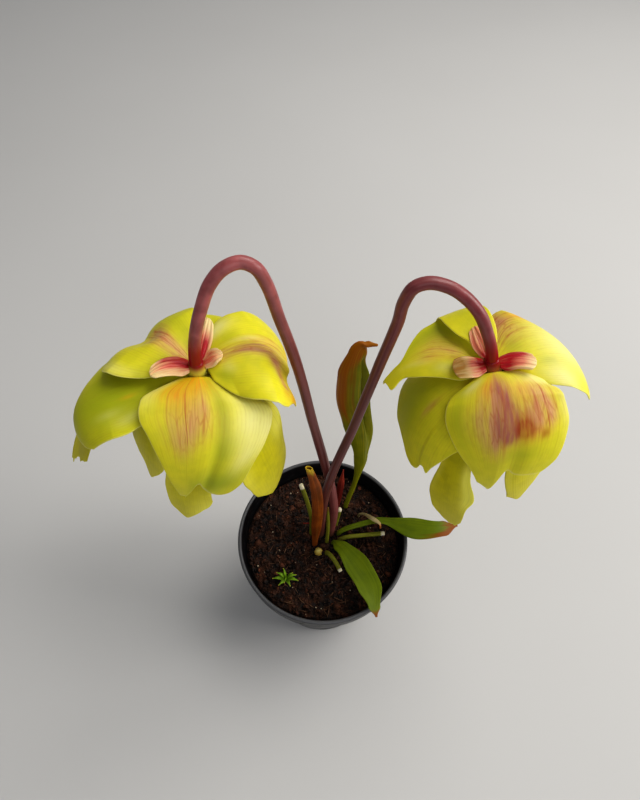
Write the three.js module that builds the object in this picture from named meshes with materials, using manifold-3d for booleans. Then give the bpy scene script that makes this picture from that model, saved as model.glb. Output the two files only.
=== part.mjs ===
// A yellow pitcher plant in a round nursery pot: two nodding flowers on bent stems, young pitchers,
// flat leaves and cut leaf stubs, standing in peat.
// Millimetres, +Z up. The origin is the centre of the pot's base, and the plant's front faces -Y.

import * as THREE from "three";
import { mergeVertices } from "three/addons/utils/BufferGeometryUtils.js";
import Module from "manifold-3d";

const wasm = await Module();
wasm.setup();

// Driving dimensions.
const GAP = 0.35; // between two pieces that touch
const POT = { rim: 45, base: 31, height: 80, wall: 1.3, collar: 12, step: 1.4, lip: 1, floor: 2, sides: 40 };
const DRAIN = { holes: 6, radius: 3.2, reach: 21 };
const SOIL = { level: 70, relief: 0.8, rings: 8 };
const ROOT = 12; // how deep a stem stands in the soil
const NECK = 2.5; // how far it goes on upright above the soil
const STEM = 2.15; // radius of a flower stem
const SEPAL = 0.8; // thickness
const PETAL = 0.7;
const BRACT = 0.8;

const DEG = Math.PI / 180;
const V = (x, y, z) => new THREE.Vector3(x, y, z);
const lerp = THREE.MathUtils.lerp;
const clamp = THREE.MathUtils.clamp;

// Colours.
const finish = (color, roughness = 0.6) => new THREE.MeshStandardMaterial({ color, roughness, metalness: 0 });
const LOOK = {
  pot: finish(0x1c1d20, 0.45),
  soil: finish(0x3a2217, 0.95),
  stem: finish(0x8e4a50, 0.45),
  sepal: finish(0xd6d62a, 0.5),
  petal: finish(0xc9c41c, 0.5),
  bract: finish(0xc2303a, 0.5),
  style: finish(0xb9c04a, 0.5),
  stamen: finish(0xd8c65a, 0.6),
  leaf: finish(0x5f8a1c, 0.45),
  bronze: finish(0x9a4a18, 0.5),
  crimson: finish(0x7a1a14, 0.5),
  stub: finish(0x8f9a3a, 0.6),
  rhizome: finish(0xc9b96a, 0.7),
};

// Solids: a closed geometry becomes a manifold, and a manifold becomes a geometry again.
function solidOf(geometry) {
  const bare = new THREE.BufferGeometry().setAttribute("position", geometry.getAttribute("position"));
  bare.setIndex(geometry.index);
  const merged = mergeVertices(bare, 1e-4);
  const triVerts = new Uint32Array(merged.index.array);
  return new wasm.Manifold(
    new wasm.Mesh({ numProp: 3, vertProperties: merged.attributes.position.array, triVerts }),
  );
}

function geometryOf(solid) {
  const mesh = solid.getMesh();
  const geometry = new THREE.BufferGeometry();
  geometry.setAttribute("position", new THREE.BufferAttribute(new Float32Array(mesh.vertProperties), 3));
  geometry.setIndex(new THREE.BufferAttribute(new Uint32Array(mesh.triVerts), 1));
  geometry.computeVertexNormals();
  return geometry;
}

// A geometry from a list of points and a list of triangles.
function meshOf(points, triangles) {
  const geometry = new THREE.BufferGeometry().setFromPoints(points);
  geometry.setIndex(triangles);
  geometry.computeVertexNormals();
  return geometry;
}

// Closes a two-sided sheet: front and back are grids of points with the same rows and columns.
function closedSheet(front, back) {
  const rows = front.length;
  const cols = front[0].length;
  const points = [...front.flat(), ...back.flat()];
  const at = (side, i, j) => side * rows * cols + i * cols + j;
  const triangles = [];
  for (let i = 0; i < rows - 1; i++)
    for (let j = 0; j < cols - 1; j++) {
      const [a, b, c, d] = [[i, j], [i + 1, j], [i + 1, j + 1], [i, j + 1]];
      triangles.push(at(0, ...a), at(0, ...b), at(0, ...c), at(0, ...a), at(0, ...c), at(0, ...d));
      triangles.push(at(1, ...a), at(1, ...c), at(1, ...b), at(1, ...a), at(1, ...d), at(1, ...c));
    }
  const rim = [];
  for (let j = 0; j < cols - 1; j++) rim.push([0, j]);
  for (let i = 0; i < rows - 1; i++) rim.push([i, cols - 1]);
  for (let j = cols - 1; j > 0; j--) rim.push([rows - 1, j]);
  for (let i = rows - 1; i > 0; i--) rim.push([i, 0]);
  rim.forEach((p, k) => {
    const q = rim[(k + 1) % rim.length];
    triangles.push(at(0, ...p), at(0, ...q), at(1, ...q), at(0, ...p), at(1, ...q), at(1, ...p));
  });
  return meshOf(points, triangles);
}

// A thin blade on a surface f(u, v), u from 0 at the root to 1 at the tip and v from -1 to 1 across.
function blade(f, columns, rows, thickness) {
  const front = [];
  const back = [];
  const tiny = 1e-3;
  for (let i = 0; i <= rows; i++) {
    front.push([]);
    back.push([]);
    for (let j = 0; j <= columns; j++) {
      const u = 1 - Math.pow(1 - i / rows, 1.3);
      const v = (2 * j) / columns - 1;
      const du = f(Math.min(u + tiny, 1), v).sub(f(Math.max(u - tiny, 0), v));
      const dv = f(u, Math.min(v + tiny, 1)).sub(f(u, Math.max(v - tiny, -1)));
      const out = du.cross(dv).normalize().multiplyScalar(thickness / 2);
      front[i].push(f(u, v).add(out));
      back[i].push(f(u, v).sub(out));
    }
  }
  return closedSheet(front, back);
}

// Half width along a blade, from 0 to 1: broad at the root, widest at peak, and closed at the tip.
// A small blunt tapers early and a large one late. With a nib, the blade closes at `neck` already, and
// only a narrow point goes on to the tip.
function outline(u, { root = 0.3, peak = 0.5, blunt = 2, close = 0.5, neck = 1, nib = 0 }) {
  if (u < peak) return root + (1 - root) * Math.sin((Math.PI / 2) * (u / peak));
  const body = Math.pow(Math.max(0, 1 - Math.pow((u - peak) / (neck - peak), blunt)), close);
  const point = nib * Math.pow(1 - Math.pow((u - peak) / (1 - peak), 4), 0.7);
  return Math.max(body, point, 0.03);
}

// The rib of a blade that springs from the receptacle, a Bezier curve in (reach, height). It leaves the
// root at `from` degrees below level and meets the tip at `to`. `out` and `down` say how far it keeps
// to each direction, and its azimuth turns from the root's to the tip's.
function ribOf({ reach, height, azimuth, tip, from, to, out, down }) {
  const curve = new THREE.CubicBezierCurve(
    new THREE.Vector2(reach, height),
    new THREE.Vector2(reach + out * Math.cos(from * DEG), height - out * Math.sin(from * DEG)),
    new THREE.Vector2(tip[0] - down * Math.cos(to * DEG), tip[1] + down * Math.sin(to * DEG)),
    new THREE.Vector2(...tip),
  );
  const last = tip[2] ?? azimuth;
  return (u) => {
    const t = clamp(u, 0, 1);
    const place = curve.getPointAt(t);
    const heading = curve.getTangentAt(t);
    const dip = Math.atan2(-heading.y, heading.x);
    return { r: place.x, z: place.y, dip, azimuth: lerp(azimuth, last, t * t) };
  };
}

// A sepal, petal or bract as a surface. It is bent across like a piece of a dome: an arch of 1 is as round
// as the flower is there, and less is flatter. BEND holds the least and most it may bend, per millimetre.
const BEND = [0.004, 0.075];
const INNER = 9; // nearer the axis than this, it bends as it does here
const DIP = 0.35; // and where it lies flatter than this, as at this dip, in radians

function floralSurface(shape) {
  const rib = ribOf(shape);
  return (u, v) => {
    const { r, z, dip, azimuth } = rib(u);
    const side = v < 0 ? shape.left : shape.right;
    const arch = side.arch ?? shape.arch ?? 1;
    const y = v * side.width * outline(u, side);
    const bend = clamp((arch * Math.sin(clamp(dip, DIP, Math.PI / 2))) / Math.max(r, INNER), ...BEND);
    const turn = y * bend;
    const sag = (1 - Math.cos(turn)) / bend;
    const across = Math.sin(turn) / bend;
    const reach = r - sag * Math.sin(dip);
    const height = z - sag * Math.cos(dip);
    const a = azimuth * DEG;
    return V(
      reach * Math.cos(a) - across * Math.sin(a),
      reach * Math.sin(a) + across * Math.cos(a),
      height,
    );
  };
}

// A tube along a curve, with flat ends. radius(u) gives its half width towards `side` and its half depth.
function tube(curve, { steps, sides, radius, side: aside = V(0, 1, 0) }) {
  const rings = [];
  for (let i = 0; i <= steps; i++) {
    const centre = curve.getPointAt(i / steps);
    const heading = curve.getTangentAt(i / steps);
    const side = aside.clone().addScaledVector(heading, -aside.dot(heading)).normalize();
    const depth = heading.clone().cross(side);
    const [w, d] = radius(i / steps);
    rings.push(
      Array.from({ length: sides }, (_, k) => {
        const a = (2 * Math.PI * k) / sides;
        return centre.clone().addScaledVector(side, w * Math.cos(a)).addScaledVector(depth, d * Math.sin(a));
      }),
    );
  }
  const points = [...rings.flat(), curve.getPointAt(0), curve.getPointAt(1)];
  const triangles = [];
  for (let i = 0; i < steps; i++)
    for (let k = 0; k < sides; k++) {
      const [a, b] = [i * sides + k, i * sides + ((k + 1) % sides)];
      triangles.push(a, b, b + sides, a, b + sides, a + sides);
    }
  const [first, last] = [points.length - 2, points.length - 1];
  for (let k = 0; k < sides; k++) {
    const next = (k + 1) % sides;
    triangles.push(first, next, k, last, steps * sides + k, steps * sides + next);
  }
  return meshOf(points, triangles);
}

// A round sheet or block between two surfaces top(t, a) and bottom(t, a), where t goes from 0 at the
// middle to 1 at the rim and a is the angle. The bottom may have fewer rings than the top.
function disc(rings, sectors, top, bottom, under = rings) {
  const points = [];
  const triangles = [];
  const rims = [];
  for (const [face, count, facing] of [[top, rings, 1], [bottom, under, -1]]) {
    const centre = points.push(face(0, 0)) - 1;
    const at = (i, k) => centre + 1 + (i - 1) * sectors + (k % sectors);
    const turn = (a, b, c) => triangles.push(...(facing > 0 ? [a, b, c] : [a, c, b]));
    for (let i = 1; i <= count; i++)
      for (let k = 0; k < sectors; k++) points.push(face(i / count, (2 * Math.PI * k) / sectors));
    for (let k = 0; k < sectors; k++) {
      turn(centre, at(1, k), at(1, k + 1));
      for (let i = 1; i < count; i++) {
        turn(at(i, k), at(i + 1, k), at(i + 1, k + 1));
        turn(at(i, k), at(i + 1, k + 1), at(i, k + 1));
      }
    }
    rims.push((k) => at(count, k));
  }
  const [upper, lower] = rims;
  for (let k = 0; k < sectors; k++) {
    triangles.push(upper(k), lower(k), lower(k + 1), upper(k), lower(k + 1), upper(k + 1));
  }
  return meshOf(points, triangles);
}

// A solid of revolution about the vertical, from [radius, height] points.
const lathe = (profile, sides) =>
  new THREE.LatheGeometry(profile.map(([x, y]) => new THREE.Vector2(x, y)), sides).rotateX(Math.PI / 2);

// A size that goes from stop to stop, each [u, size], along a piece.
function sizes(...stops) {
  return (u) => {
    const next = Math.max(1, stops.findIndex(([end]) => u <= end));
    const [[u0, a], [u1, b]] = [stops[next - 1], stops[next]];
    return lerp(a, b, THREE.MathUtils.smoothstep(u, u0, u1));
  };
}

const curveOf = (points) => new THREE.CatmullRomCurve3(points.map((p) => V(...p)), false, "centripetal");

const group = new THREE.Group();
function add(parent, name, geometry, material) {
  const mesh = new THREE.Mesh(geometry, material);
  mesh.name = name;
  parent.add(mesh);
  return mesh;
}

// The flowers. Each hangs from the end of its stem: `at` is where the sepals spring from it, and `lean`
// tips its axis sideways, in degrees. Tips are [reach, height, azimuth] from there, and a blade's left
// is on the clockwise side, seen from above.
const RECEPTACLE = { radius: 3.6, top: 4, bottom: -7.6 };
const LAYER = { bract: 1.8, outer: 0.5, half: -0.7, inner: -1.9, petal: -4.2 };
const ROUND = { root: 0.3, peak: 0.5, blunt: 2.4, close: 0.55 };
const TAPER = { root: 0.3, peak: 0.3, blunt: 1.1, close: 1 };
const FULL = { root: 0.3, peak: 0.6, blunt: 3, close: 0.5 };
const NIBBED = { root: 0.3, peak: 0.55, blunt: 5, close: 0.6, neck: 0.93, nib: 0.22 };
const STRAP = { root: 0.14, peak: 0.7, blunt: 2.6, close: 0.6 };
const PETAL_RIB = { from: 5, to: 92, out: 20, down: 34, arch: 0.8 };

const FLOWERS = [
  {
    name: "left",
    at: [-46.8, 14, 207],
    lean: 8,
    sepals: {
      front: {
        azimuth: -80, layer: "half", tip: [32, -40, -92], from: -14, to: 98, out: 20, down: 20,
        left: { width: 23, ...TAPER, arch: 0.3 }, right: { width: 29, ...NIBBED, neck: 0.97 }, arch: 0.75,
      },
      right: {
        azimuth: 28, layer: "outer", tip: [38.5, -20, 0], from: -25, to: 80, out: 26, down: 16,
        left: { width: 20, ...TAPER, blunt: 1.6 }, right: { width: 25, ...FULL, root: 0.2, peak: 0.66 },
        arch: 0.7,
      },
      back: {
        azimuth: 84, layer: "inner", tip: [34, -21], from: 0, to: 88, out: 22, down: 16,
        left: { width: 18, ...ROUND }, right: { width: 15, ...ROUND, arch: 1.2 },
      },
      back_left: {
        azimuth: 142, layer: "outer", tip: [33.5, -20], from: -18, to: 85, out: 22, down: 16,
        left: { width: 22, ...ROUND, root: 0.2, arch: 0.65 }, right: { width: 22, ...FULL, arch: 0.65 },
      },
      left: {
        azimuth: 196, layer: "inner", tip: [45.5, -23, 200], from: 7, to: 92, out: 27, down: 14,
        left: { width: 8.5, ...ROUND, arch: 2.9 }, right: { width: 19, ...FULL, arch: 1.6 },
      },
    },
    petals: {
      front_left: { azimuth: -146, tip: [26, -58], width: 10 },
      front: { azimuth: -90, tip: [30, -68], width: 9.5 },
      right: { azimuth: -22, tip: [36.2, -62], width: 14.5 },
      back: { azimuth: 50, tip: [28, -62], width: 13 },
      back_left: { azimuth: 160, tip: [48, -47, 207], width: 9, from: 34, to: 64, out: 20, down: 22 },
    },
    bracts: { left: [190, 16, 3.6], back: [87, 16, 6], right: [25, 11.5, 5.6] },
  },
  {
    name: "right",
    at: [59.5, 18, 206],
    lean: -12,
    sepals: {
      front: {
        azimuth: -88, layer: "outer", tip: [31.5, -38, -97], from: -12, to: 98, out: 20, down: 20,
        left: { width: 20, ...TAPER, blunt: 1.6 }, arch: 0.75,
        right: { width: 27.5, ...NIBBED, neck: 0.9, blunt: 8, close: 0.7 },
      },
      right: {
        azimuth: 24, layer: "inner", tip: [35, -24, 10], from: -4, to: 86, out: 21, down: 16,
        left: { width: 19, ...ROUND }, right: { width: 26, ...FULL, root: 0.2 }, arch: 0.8,
      },
      back: {
        azimuth: 104, layer: "outer", tip: [33, -15, 110], from: -26, to: 86, out: 19, down: 14,
        left: { width: 11, ...ROUND }, right: { width: 14, ...ROUND, arch: 0.2 }, arch: 0.45,
      },
      left: {
        azimuth: 158, layer: "half", tip: [40, -6, 178], from: -10, to: 30, out: 16, down: 12,
        left: { width: 15, ...NIBBED, neck: 0.78 }, right: { width: 12, ...ROUND, arch: 1.1 },
      },
      front_left: {
        azimuth: -162, layer: "inner", tip: [36.7, -43, -150], from: -3, to: 96, out: 25, down: 18,
        left: { width: 23.5, ...FULL, arch: 1.1 }, right: { width: 20, ...TAPER, blunt: 1.5, arch: 1.3 },
      },
    },
    petals: {
      front_left: { azimuth: -124, tip: [34, -76], width: 9 },
      front: { azimuth: -61, tip: [28, -62], width: 10 },
      right: { azimuth: 12, tip: [28, -62], width: 13 },
      back: { azimuth: 86, tip: [28, -62], width: 13 },
      left: { azimuth: 162, tip: [28, -62], width: 13 },
    },
    bracts: { left: [190, 15, 2.8], back: [102, 15.5, 5], right: [0, 16, 2.2] },
  },
];

const ROOT_REACH = RECEPTACLE.radius + GAP;

// The ovary with its style, which spreads below it into an upturned umbrella of five lobes.
const OVARY = { radius: 6.4, height: -14.4 };
const UMBRELLA = { radius: 19, lobe: 3, centre: -42, rise: 7, thickness: 0.9, column: 1.5 };

function pistil() {
  const { radius, lobe, centre, rise, thickness, column } = UMBRELLA;
  const spread = (t, a) => t * (radius + lobe * Math.abs(Math.cos(2.5 * a)));
  const face = (lift) => (t, a) =>
    V(spread(t, a) * Math.cos(a), spread(t, a) * Math.sin(a), centre + rise * t * t + lift);
  const umbrella = solidOf(disc(3, 30, face(thickness), face(0)));
  const ball = solidOf(new THREE.IcosahedronGeometry(OVARY.radius, 1).translate(0, 0, OVARY.height));
  const stalk = solidOf(
    lathe([[0, centre + 0.2], [column, centre + 0.2], [column, OVARY.height], [0, OVARY.height]], 10),
  );
  return geometryOf(wasm.Manifold.union([umbrella, ball, stalk]));
}

// The stamens, in one ring that sits close round the ovary.
const STAMENS = { count: 15, reach: 8, height: -12.2, ring: 0.8, anther: 1.5 };

function stamens() {
  const { count, reach, height, ring, anther } = STAMENS;
  const waist = Math.sqrt(OVARY.radius ** 2 - (height - OVARY.height) ** 2);
  const inner = new THREE.TorusGeometry(waist + GAP + ring, ring, 5, count);
  const pieces = [solidOf(inner.translate(0, 0, height))];
  for (let k = 0; k < count; k++) {
    const a = (2 * Math.PI * k) / count;
    const head = new THREE.OctahedronGeometry(anther, 0).scale(0.85, 0.85, 1.4);
    pieces.push(solidOf(head.translate(reach * Math.cos(a), reach * Math.sin(a), height - 1)));
  }
  return geometryOf(wasm.Manifold.union(pieces));
}

const BRACT_EDGE = { width: 3.7, root: 0.55, peak: 0.45, blunt: 2.4, close: 0.6 };

function flower({ name, at, lean, sepals, petals, bracts }) {
  const head = new THREE.Group();
  head.position.set(...at);
  head.rotation.set(0, lean * DEG, 0);
  for (const [place, shape] of Object.entries(sepals)) {
    const surface = floralSurface({ reach: ROOT_REACH, height: LAYER[shape.layer], ...shape });
    add(head, `${name}_sepal_${place}`, blade(surface, 8, 10, SEPAL), LOOK.sepal);
  }
  for (const [place, { width, ...shape }] of Object.entries(petals)) {
    const edge = { width, ...STRAP };
    const surface = floralSurface({
      reach: ROOT_REACH, height: LAYER.petal, ...PETAL_RIB, left: edge, right: edge, ...shape,
    });
    add(head, `${name}_petal_${place}`, blade(surface, 4, 10, PETAL), LOOK.petal);
  }
  for (const [place, [azimuth, reach, rise]] of Object.entries(bracts)) {
    const surface = floralSurface({
      azimuth, reach: ROOT_REACH, height: LAYER.bract, tip: [reach, rise], from: -15 - 3 * rise,
      to: 30 - 6 * rise, out: 5, down: 4, arch: 1.2, left: BRACT_EDGE, right: BRACT_EDGE,
    });
    add(head, `${name}_bract_${place}`, blade(surface, 4, 5, BRACT), LOOK.bract);
  }
  add(head, `${name}_pistil`, pistil(), LOOK.style);
  add(head, `${name}_stamens`, stamens(), LOOK.stamen);
  head.updateMatrix();
  group.add(head);
  return head;
}

// A flower's stem, with the receptacle that its sepals and petals spring from at its end.
function flowerStem(route, head) {
  const { radius, top, bottom } = RECEPTACLE;
  const swell = [
    [0, bottom], [radius - 0.6, bottom], [radius, bottom + 1], [radius, 0.5], [STEM, top], [0, top],
  ];
  const swelling = sizes([0, 1.1], [0.5, 0.95], [0.8, 1.05], [1, 1]);
  const shape = { steps: 48, sides: 8, radius: (u) => [STEM * swelling(u), STEM * swelling(u)] };
  return geometryOf(solidOf(tube(route, shape)).add(solidOf(lathe(swell, 16).applyMatrix4(head.matrix))));
}

// A route from its place in the soil: straight up, then through the points.
function rooted([x, y], ...points) {
  return curveOf([[x, y, SOIL.level - ROOT], [x, y, SOIL.level - 5], [x, y, SOIL.level + NECK], ...points]);
}

const STEM_FEET = { left: [4.2, 5.2], right: [-1.2, 4.6] };
const STEMS = {
  left: rooted(
    STEM_FEET.left, [5.4, 7.6, 98], [2.9, 11.6, 120], [-1.1, 14.3, 142.5], [-5.5, 16.7, 167],
    [-9.5, 19.5, 191], [-12.8, 21.4, 207.5], [-17, 23.2, 224], [-20.2, 23.4, 239.5], [-23.2, 22.8, 247],
    [-27.5, 22.5, 249.3], [-32.5, 20.7, 248.3], [-37.1, 18.9, 243.4], [-41.1, 16.7, 234.7],
    [-44.2, 15, 225.2], [-46, 14.2, 216],
    FLOWERS[0].at,
  ),
  right: rooted(
    STEM_FEET.right, [-0.2, 5.8, 106], [1.9, 7.4, 125.5], [5, 10.2, 141], [11.1, 14.8, 164], [16, 19, 185],
    [21, 22.8, 207.5], [24, 24.7, 221], [24.8, 24.8, 231], [27.3, 24.6, 238], [32, 24.9, 239.7],
    [38.5, 24.1, 238.6], [44.5, 23.1, 234.8], [50, 21.3, 229.2], [54.5, 19.8, 221], [57.6, 18.6, 213.5],
    FLOWERS[1].at,
  ),
};

FLOWERS.forEach((bloom) => {
  const head = flower(bloom);
  add(group, `${bloom.name}_stem`, flowerStem(STEMS[bloom.name], head), LOOK.stem);
});

// The leaves: a tall hooded pitcher behind, a short open one in front, two flat leaves, a thin red one,
// a withered one, and the cut stubs of others. Each stands at `foot`, and `side` is the way it's broad.
const PITCHERS = {
  pitcher_tall: {
    foot: [12.9, 20.8],
    points: [
      [17.2, 26.5, 92], [18.6, 29.6, 109], [17.4, 32.6, 125], [14.8, 36, 139], [12.4, 39, 151],
      [11.8, 41.6, 164], [12.6, 44, 176], [15.4, 45.8, 183], [21, 44.6, 184.5],
    ],
    width: sizes(
      [0, 1.3], [0.25, 1.4], [0.42, 3.4], [0.6, 6.8], [0.72, 7.4], [0.83, 6.8], [0.92, 4], [1, 0.7],
    ),
    depth: sizes([0, 1.2], [0.3, 1.3], [0.6, 3.4], [0.8, 3.8], [0.92, 2.2], [1, 0.5]),
    side: V(1, 0, 0.25),
    steps: 22,
    look: LOOK.leaf,
  },
  pitcher_short: {
    foot: [-4.2, -1.2],
    points: [[-3.6, -0.2, 88], [-2.9, 1.4, 114], [-3.8, 2.6, 132], [-6.6, 3.4, 150]],
    width: sizes([0, 1.6], [0.15, 1.6], [0.4, 2.6], [0.6, 2.7], [0.85, 2.2], [1, 2.7]),
    depth: sizes([0, 1.4], [0.15, 1.4], [0.35, 1.7], [1, 1.9]),
    side: V(1, 0, 0),
    steps: 14,
    look: LOOK.bronze,
    mouth: 3.5,
  },
};

function pitcher({ foot, points, width, depth, side, steps, mouth }) {
  const route = rooted(foot, ...points);
  const body = tube(route, { steps, sides: 10, radius: (u) => [width(u), depth(u)], side });
  if (!mouth) return body;
  const end = route.getPointAt(1);
  const heading = route.getTangentAt(1);
  const bore = curveOf([
    end.clone().addScaledVector(heading, -mouth).toArray(),
    end.clone().addScaledVector(heading, 2).toArray(),
  ]);
  const hollow = tube(bore, { steps: 2, sides: 10, radius: () => [width(1) - 0.8, depth(1) - 0.8], side });
  return geometryOf(solidOf(body).subtract(solidOf(hollow)));
}
for (const [name, shape] of Object.entries(PITCHERS)) add(group, name, pitcher(shape), shape.look);

const LEAVES = {
  leaf_right: {
    foot: [8.8, 4.4],
    points: [
      [12.2, 5.4, 75.5], [21, 7, 79], [30.6, 7.8, 82], [49.9, 1.7, 86.5], [61, 1.6, 87.5], [70.6, 4.3, 86],
    ],
    width: sizes([0, 1.2], [0.4, 1.5], [0.5, 1.8], [0.72, 5.7], [0.9, 4], [1, 0.6]),
    depth: sizes([0, 1.1], [0.4, 1], [0.6, 0.7], [1, 0.4]),
    side: V(0.1, 1, 0.1),
    steps: 18,
    look: LOOK.leaf,
  },
  leaf_front: {
    foot: [6, -0.8],
    points: [[8.4, -4, 77.5], [12.2, -8.6, 80.8], [16.8, -15.4, 83], [23.4, -28, 85], [26.3, -42, 84.5]],
    width: sizes([0, 1.3], [0.25, 1.5], [0.36, 3.8], [0.6, 6.4], [0.78, 6], [0.93, 3], [1, 0.6]),
    depth: sizes([0, 1.1], [0.3, 0.9], [0.6, 0.6], [1, 0.4]),
    side: V(0.86, 0.5, 0),
    steps: 16,
    look: LOOK.leaf,
  },
  leaf_red: {
    foot: [3.6, 10.4],
    points: [[7, 14.6, 86], [8.6, 18.2, 99], [9.8, 22.5, 112]],
    width: sizes([0, 1.1], [0.25, 1.1], [0.5, 1.8], [0.8, 1.8], [1, 0.4]),
    depth: sizes([0, 0.9], [1, 0.5]),
    side: V(1, 0, 0),
    steps: 10,
    look: LOOK.crimson,
  },
  leaf_withered: {
    foot: [14.2, 11.6],
    points: [[18, 14.4, 74.5], [23, 14.2, 75.2], [27, 11, 75.4], [30.2, 8, 75]],
    width: sizes([0, 0.9], [0.4, 0.9], [0.6, 1], [0.9, 0.7], [1, 0.35]),
    depth: sizes([0, 0.8], [1, 0.5]),
    side: V(0.3, 1, 0),
    steps: 10,
    look: LOOK.stub,
  },
  leaf_tip: {
    foot: [-6.4, 8.4],
    points: [[-7.4, 8.4, 75.2], [-10.4, 7.7, 77]],
    width: sizes([0, 0.9], [0.5, 1.1], [1, 0.3]),
    depth: sizes([0, 0.8], [1, 0.3]),
    side: V(0, 1, 0),
    steps: 8,
    look: LOOK.crimson,
  },
  sheath: {
    foot: [2.3, -0.6],
    points: [[2.6, 0.2, 90], [2.1, 2, 112]],
    width: sizes([0, 1], [0.7, 0.9], [1, 0.5]),
    depth: sizes([0, 0.8], [1, 0.4]),
    side: V(1, 0, 0),
    steps: 8,
    look: LOOK.stub,
  },
};
for (const [name, { foot, points, width, depth, side, steps, look }] of Object.entries(LEAVES)) {
  const radius = (u) => [width(u), depth(u)];
  add(group, name, tube(rooted(foot, ...points), { steps, sides: 8, radius, side }), look);
}

const STUB = 1.15; // radius
const STUBS = {
  stub_left: { foot: [-6.2, 4.6], points: [[-6.4, 8.6, 82], [-8.6, 14, 92], [-11.8, 19.4, 101]] },
  stub_centre: { foot: [7.2, 9.4], points: [[6.9, 10.3, 80], [6.3, 11.7, 87]] },
  stub_right: { foot: [8.9, 0.2], points: [[13, 0.9, 75.4], [20, 1.6, 76.2], [33.4, 3, 76]] },
  stub_front: { foot: [2.4, -6.7], points: [[4, -8.6, 74.6], [6.5, -12, 75], [9.6, -17.3, 73.8]] },
};
for (const [name, { foot, points }] of Object.entries(STUBS)) {
  const shape = { steps: 8, sides: 8, radius: () => [STUB, STUB], side: V(0.5, 0.87, 0) };
  add(group, name, tube(rooted(foot, ...points), shape), LOOK.stub);
}

// The end of the rhizome, a pale lump half out of the soil.
const RHIZOME = { foot: [-2.2, -5.5], radius: 2.5, rise: 2.6 };
function rhizome() {
  const { foot: [x, y], radius, rise } = RHIZOME;
  const { level } = SOIL;
  const profile = [
    [0, level - ROOT], [radius * 0.8, level - ROOT], [radius, level - 4], [radius, level + rise * 0.5],
    [radius * 0.7, level + rise * 0.9], [0, level + rise],
  ];
  return lathe(profile, 10).translate(x, y, 0);
}
add(group, "rhizome", rhizome(), LOOK.rhizome);

// A tuft of moss seedlings near the rim.
const SEEDLINGS = { foot: [-18.5, -21], leaves: [[-25.5, -22, 76], [-20.2, -17.4, 78], [-12.4, -23, 76.5]] };
function seedlings() {
  const { foot, leaves } = SEEDLINGS;
  const width = sizes([0, 0.9], [0.5, 0.9], [0.75, 1.6], [1, 0.5]);
  const pieces = leaves.map((tip) => {
    const middle = [(foot[0] + tip[0]) / 2, (foot[1] + tip[1]) / 2, tip[2]];
    return solidOf(tube(rooted(foot, middle, tip), { steps: 9, sides: 6, radius: (u) => [width(u), 0.7] }));
  });
  return geometryOf(wasm.Manifold.union(pieces));
}
add(group, "seedlings", seedlings(), LOOK.leaf);

// The pot: a tapered tub with a stepped collar, a rolled lip and drain holes round its floor.
function pot() {
  const { rim, base, height, wall, collar, step, lip, floor, sides } = POT;
  const shoulder = rim - lip - step;
  const profile = [
    [0, 0], [base, 0], [shoulder, height - collar], [rim - lip, height - collar + 1],
    [rim - lip, height - 2 * lip], [rim, height - lip], [rim - 0.4 * lip, height], [rim - lip - wall, height],
    [shoulder - wall, height - collar], [base - wall, floor], [0, floor],
  ];
  const tub = solidOf(lathe(profile, sides));
  const drains = Array.from({ length: DRAIN.holes }, (_, k) => {
    const a = (2 * Math.PI * (k + 0.5)) / DRAIN.holes;
    const drill = new THREE.CylinderGeometry(DRAIN.radius, DRAIN.radius, 3 * floor, 16).rotateX(Math.PI / 2);
    return solidOf(drill.translate(DRAIN.reach * Math.cos(a), DRAIN.reach * Math.sin(a), floor / 2));
  });
  return geometryOf(tub.subtract(wasm.Manifold.union(drains)));
}
add(group, "pot", pot(), LOOK.pot);

// Where each stem or leaf stands, with the radius of its hole in the soil.
const FEET = [
  [STEM_FEET.left, STEM * 1.12],
  [STEM_FEET.right, STEM * 1.12],
  ...[...Object.values(PITCHERS), ...Object.values(LEAVES)].map(({ foot, width }) => [foot, width(0)]),
  ...Object.values(STUBS).map(({ foot }) => [foot, STUB]),
  [RHIZOME.foot, RHIZOME.radius],
  [SEEDLINGS.foot, 0.9],
].map(([foot, radius]) => [foot, radius + GAP + 0.1]);

// The soil fills the pot nearly to the collar. Each stem stands in a plain hole in it.
function soil() {
  const { rim, base, height, wall, collar, step, lip, floor, sides } = POT;
  const { level, relief, rings } = SOIL;
  const shoulder = rim - lip - step - wall;
  const inside = (z) => lerp(base - wall, shoulder, (z - floor) / (height - collar - floor)) - GAP;
  const bump = (x, y) =>
    relief * (0.5 * Math.sin(0.45 * x + 1) * Math.cos(0.4 * y) + 0.5 * Math.sin(0.8 * y + 0.6 * x));
  const place = (r, a, z) => V(r * Math.sin(a), -r * Math.cos(a), z);
  const top = (t, a) => {
    const r = t * inside(Math.min(level, height - collar));
    return place(r, a, t < 1 ? level + bump(r * Math.sin(a), -r * Math.cos(a)) : level - 0.5);
  };
  const low = floor + GAP;
  const block = solidOf(disc(rings, sides, top, (t, a) => place(t * inside(low), a, low), 1));
  const holes = FEET.map(([[x, y], radius]) => {
    const drill = new THREE.CylinderGeometry(radius, radius, ROOT + 8, 12).rotateX(Math.PI / 2);
    return solidOf(drill.translate(x, y, level + 4 - ROOT / 2 - GAP));
  });
  return geometryOf(block.subtract(wasm.Manifold.union(holes)));
}
add(group, "soil", soil(), LOOK.soil);

export default group;
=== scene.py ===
# %% [markdown]
# # A potted yellow pitcher plant
# Two nodding yellow flowers hang from arching stems over a small black nursery pot of peat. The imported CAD
# solids say where every sepal, stem and leaf is, but a faceted solid has no veins, thin edges or wet peat.
# Each one is therefore made again here as a smooth surface on the same formula, close to its solid.

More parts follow.
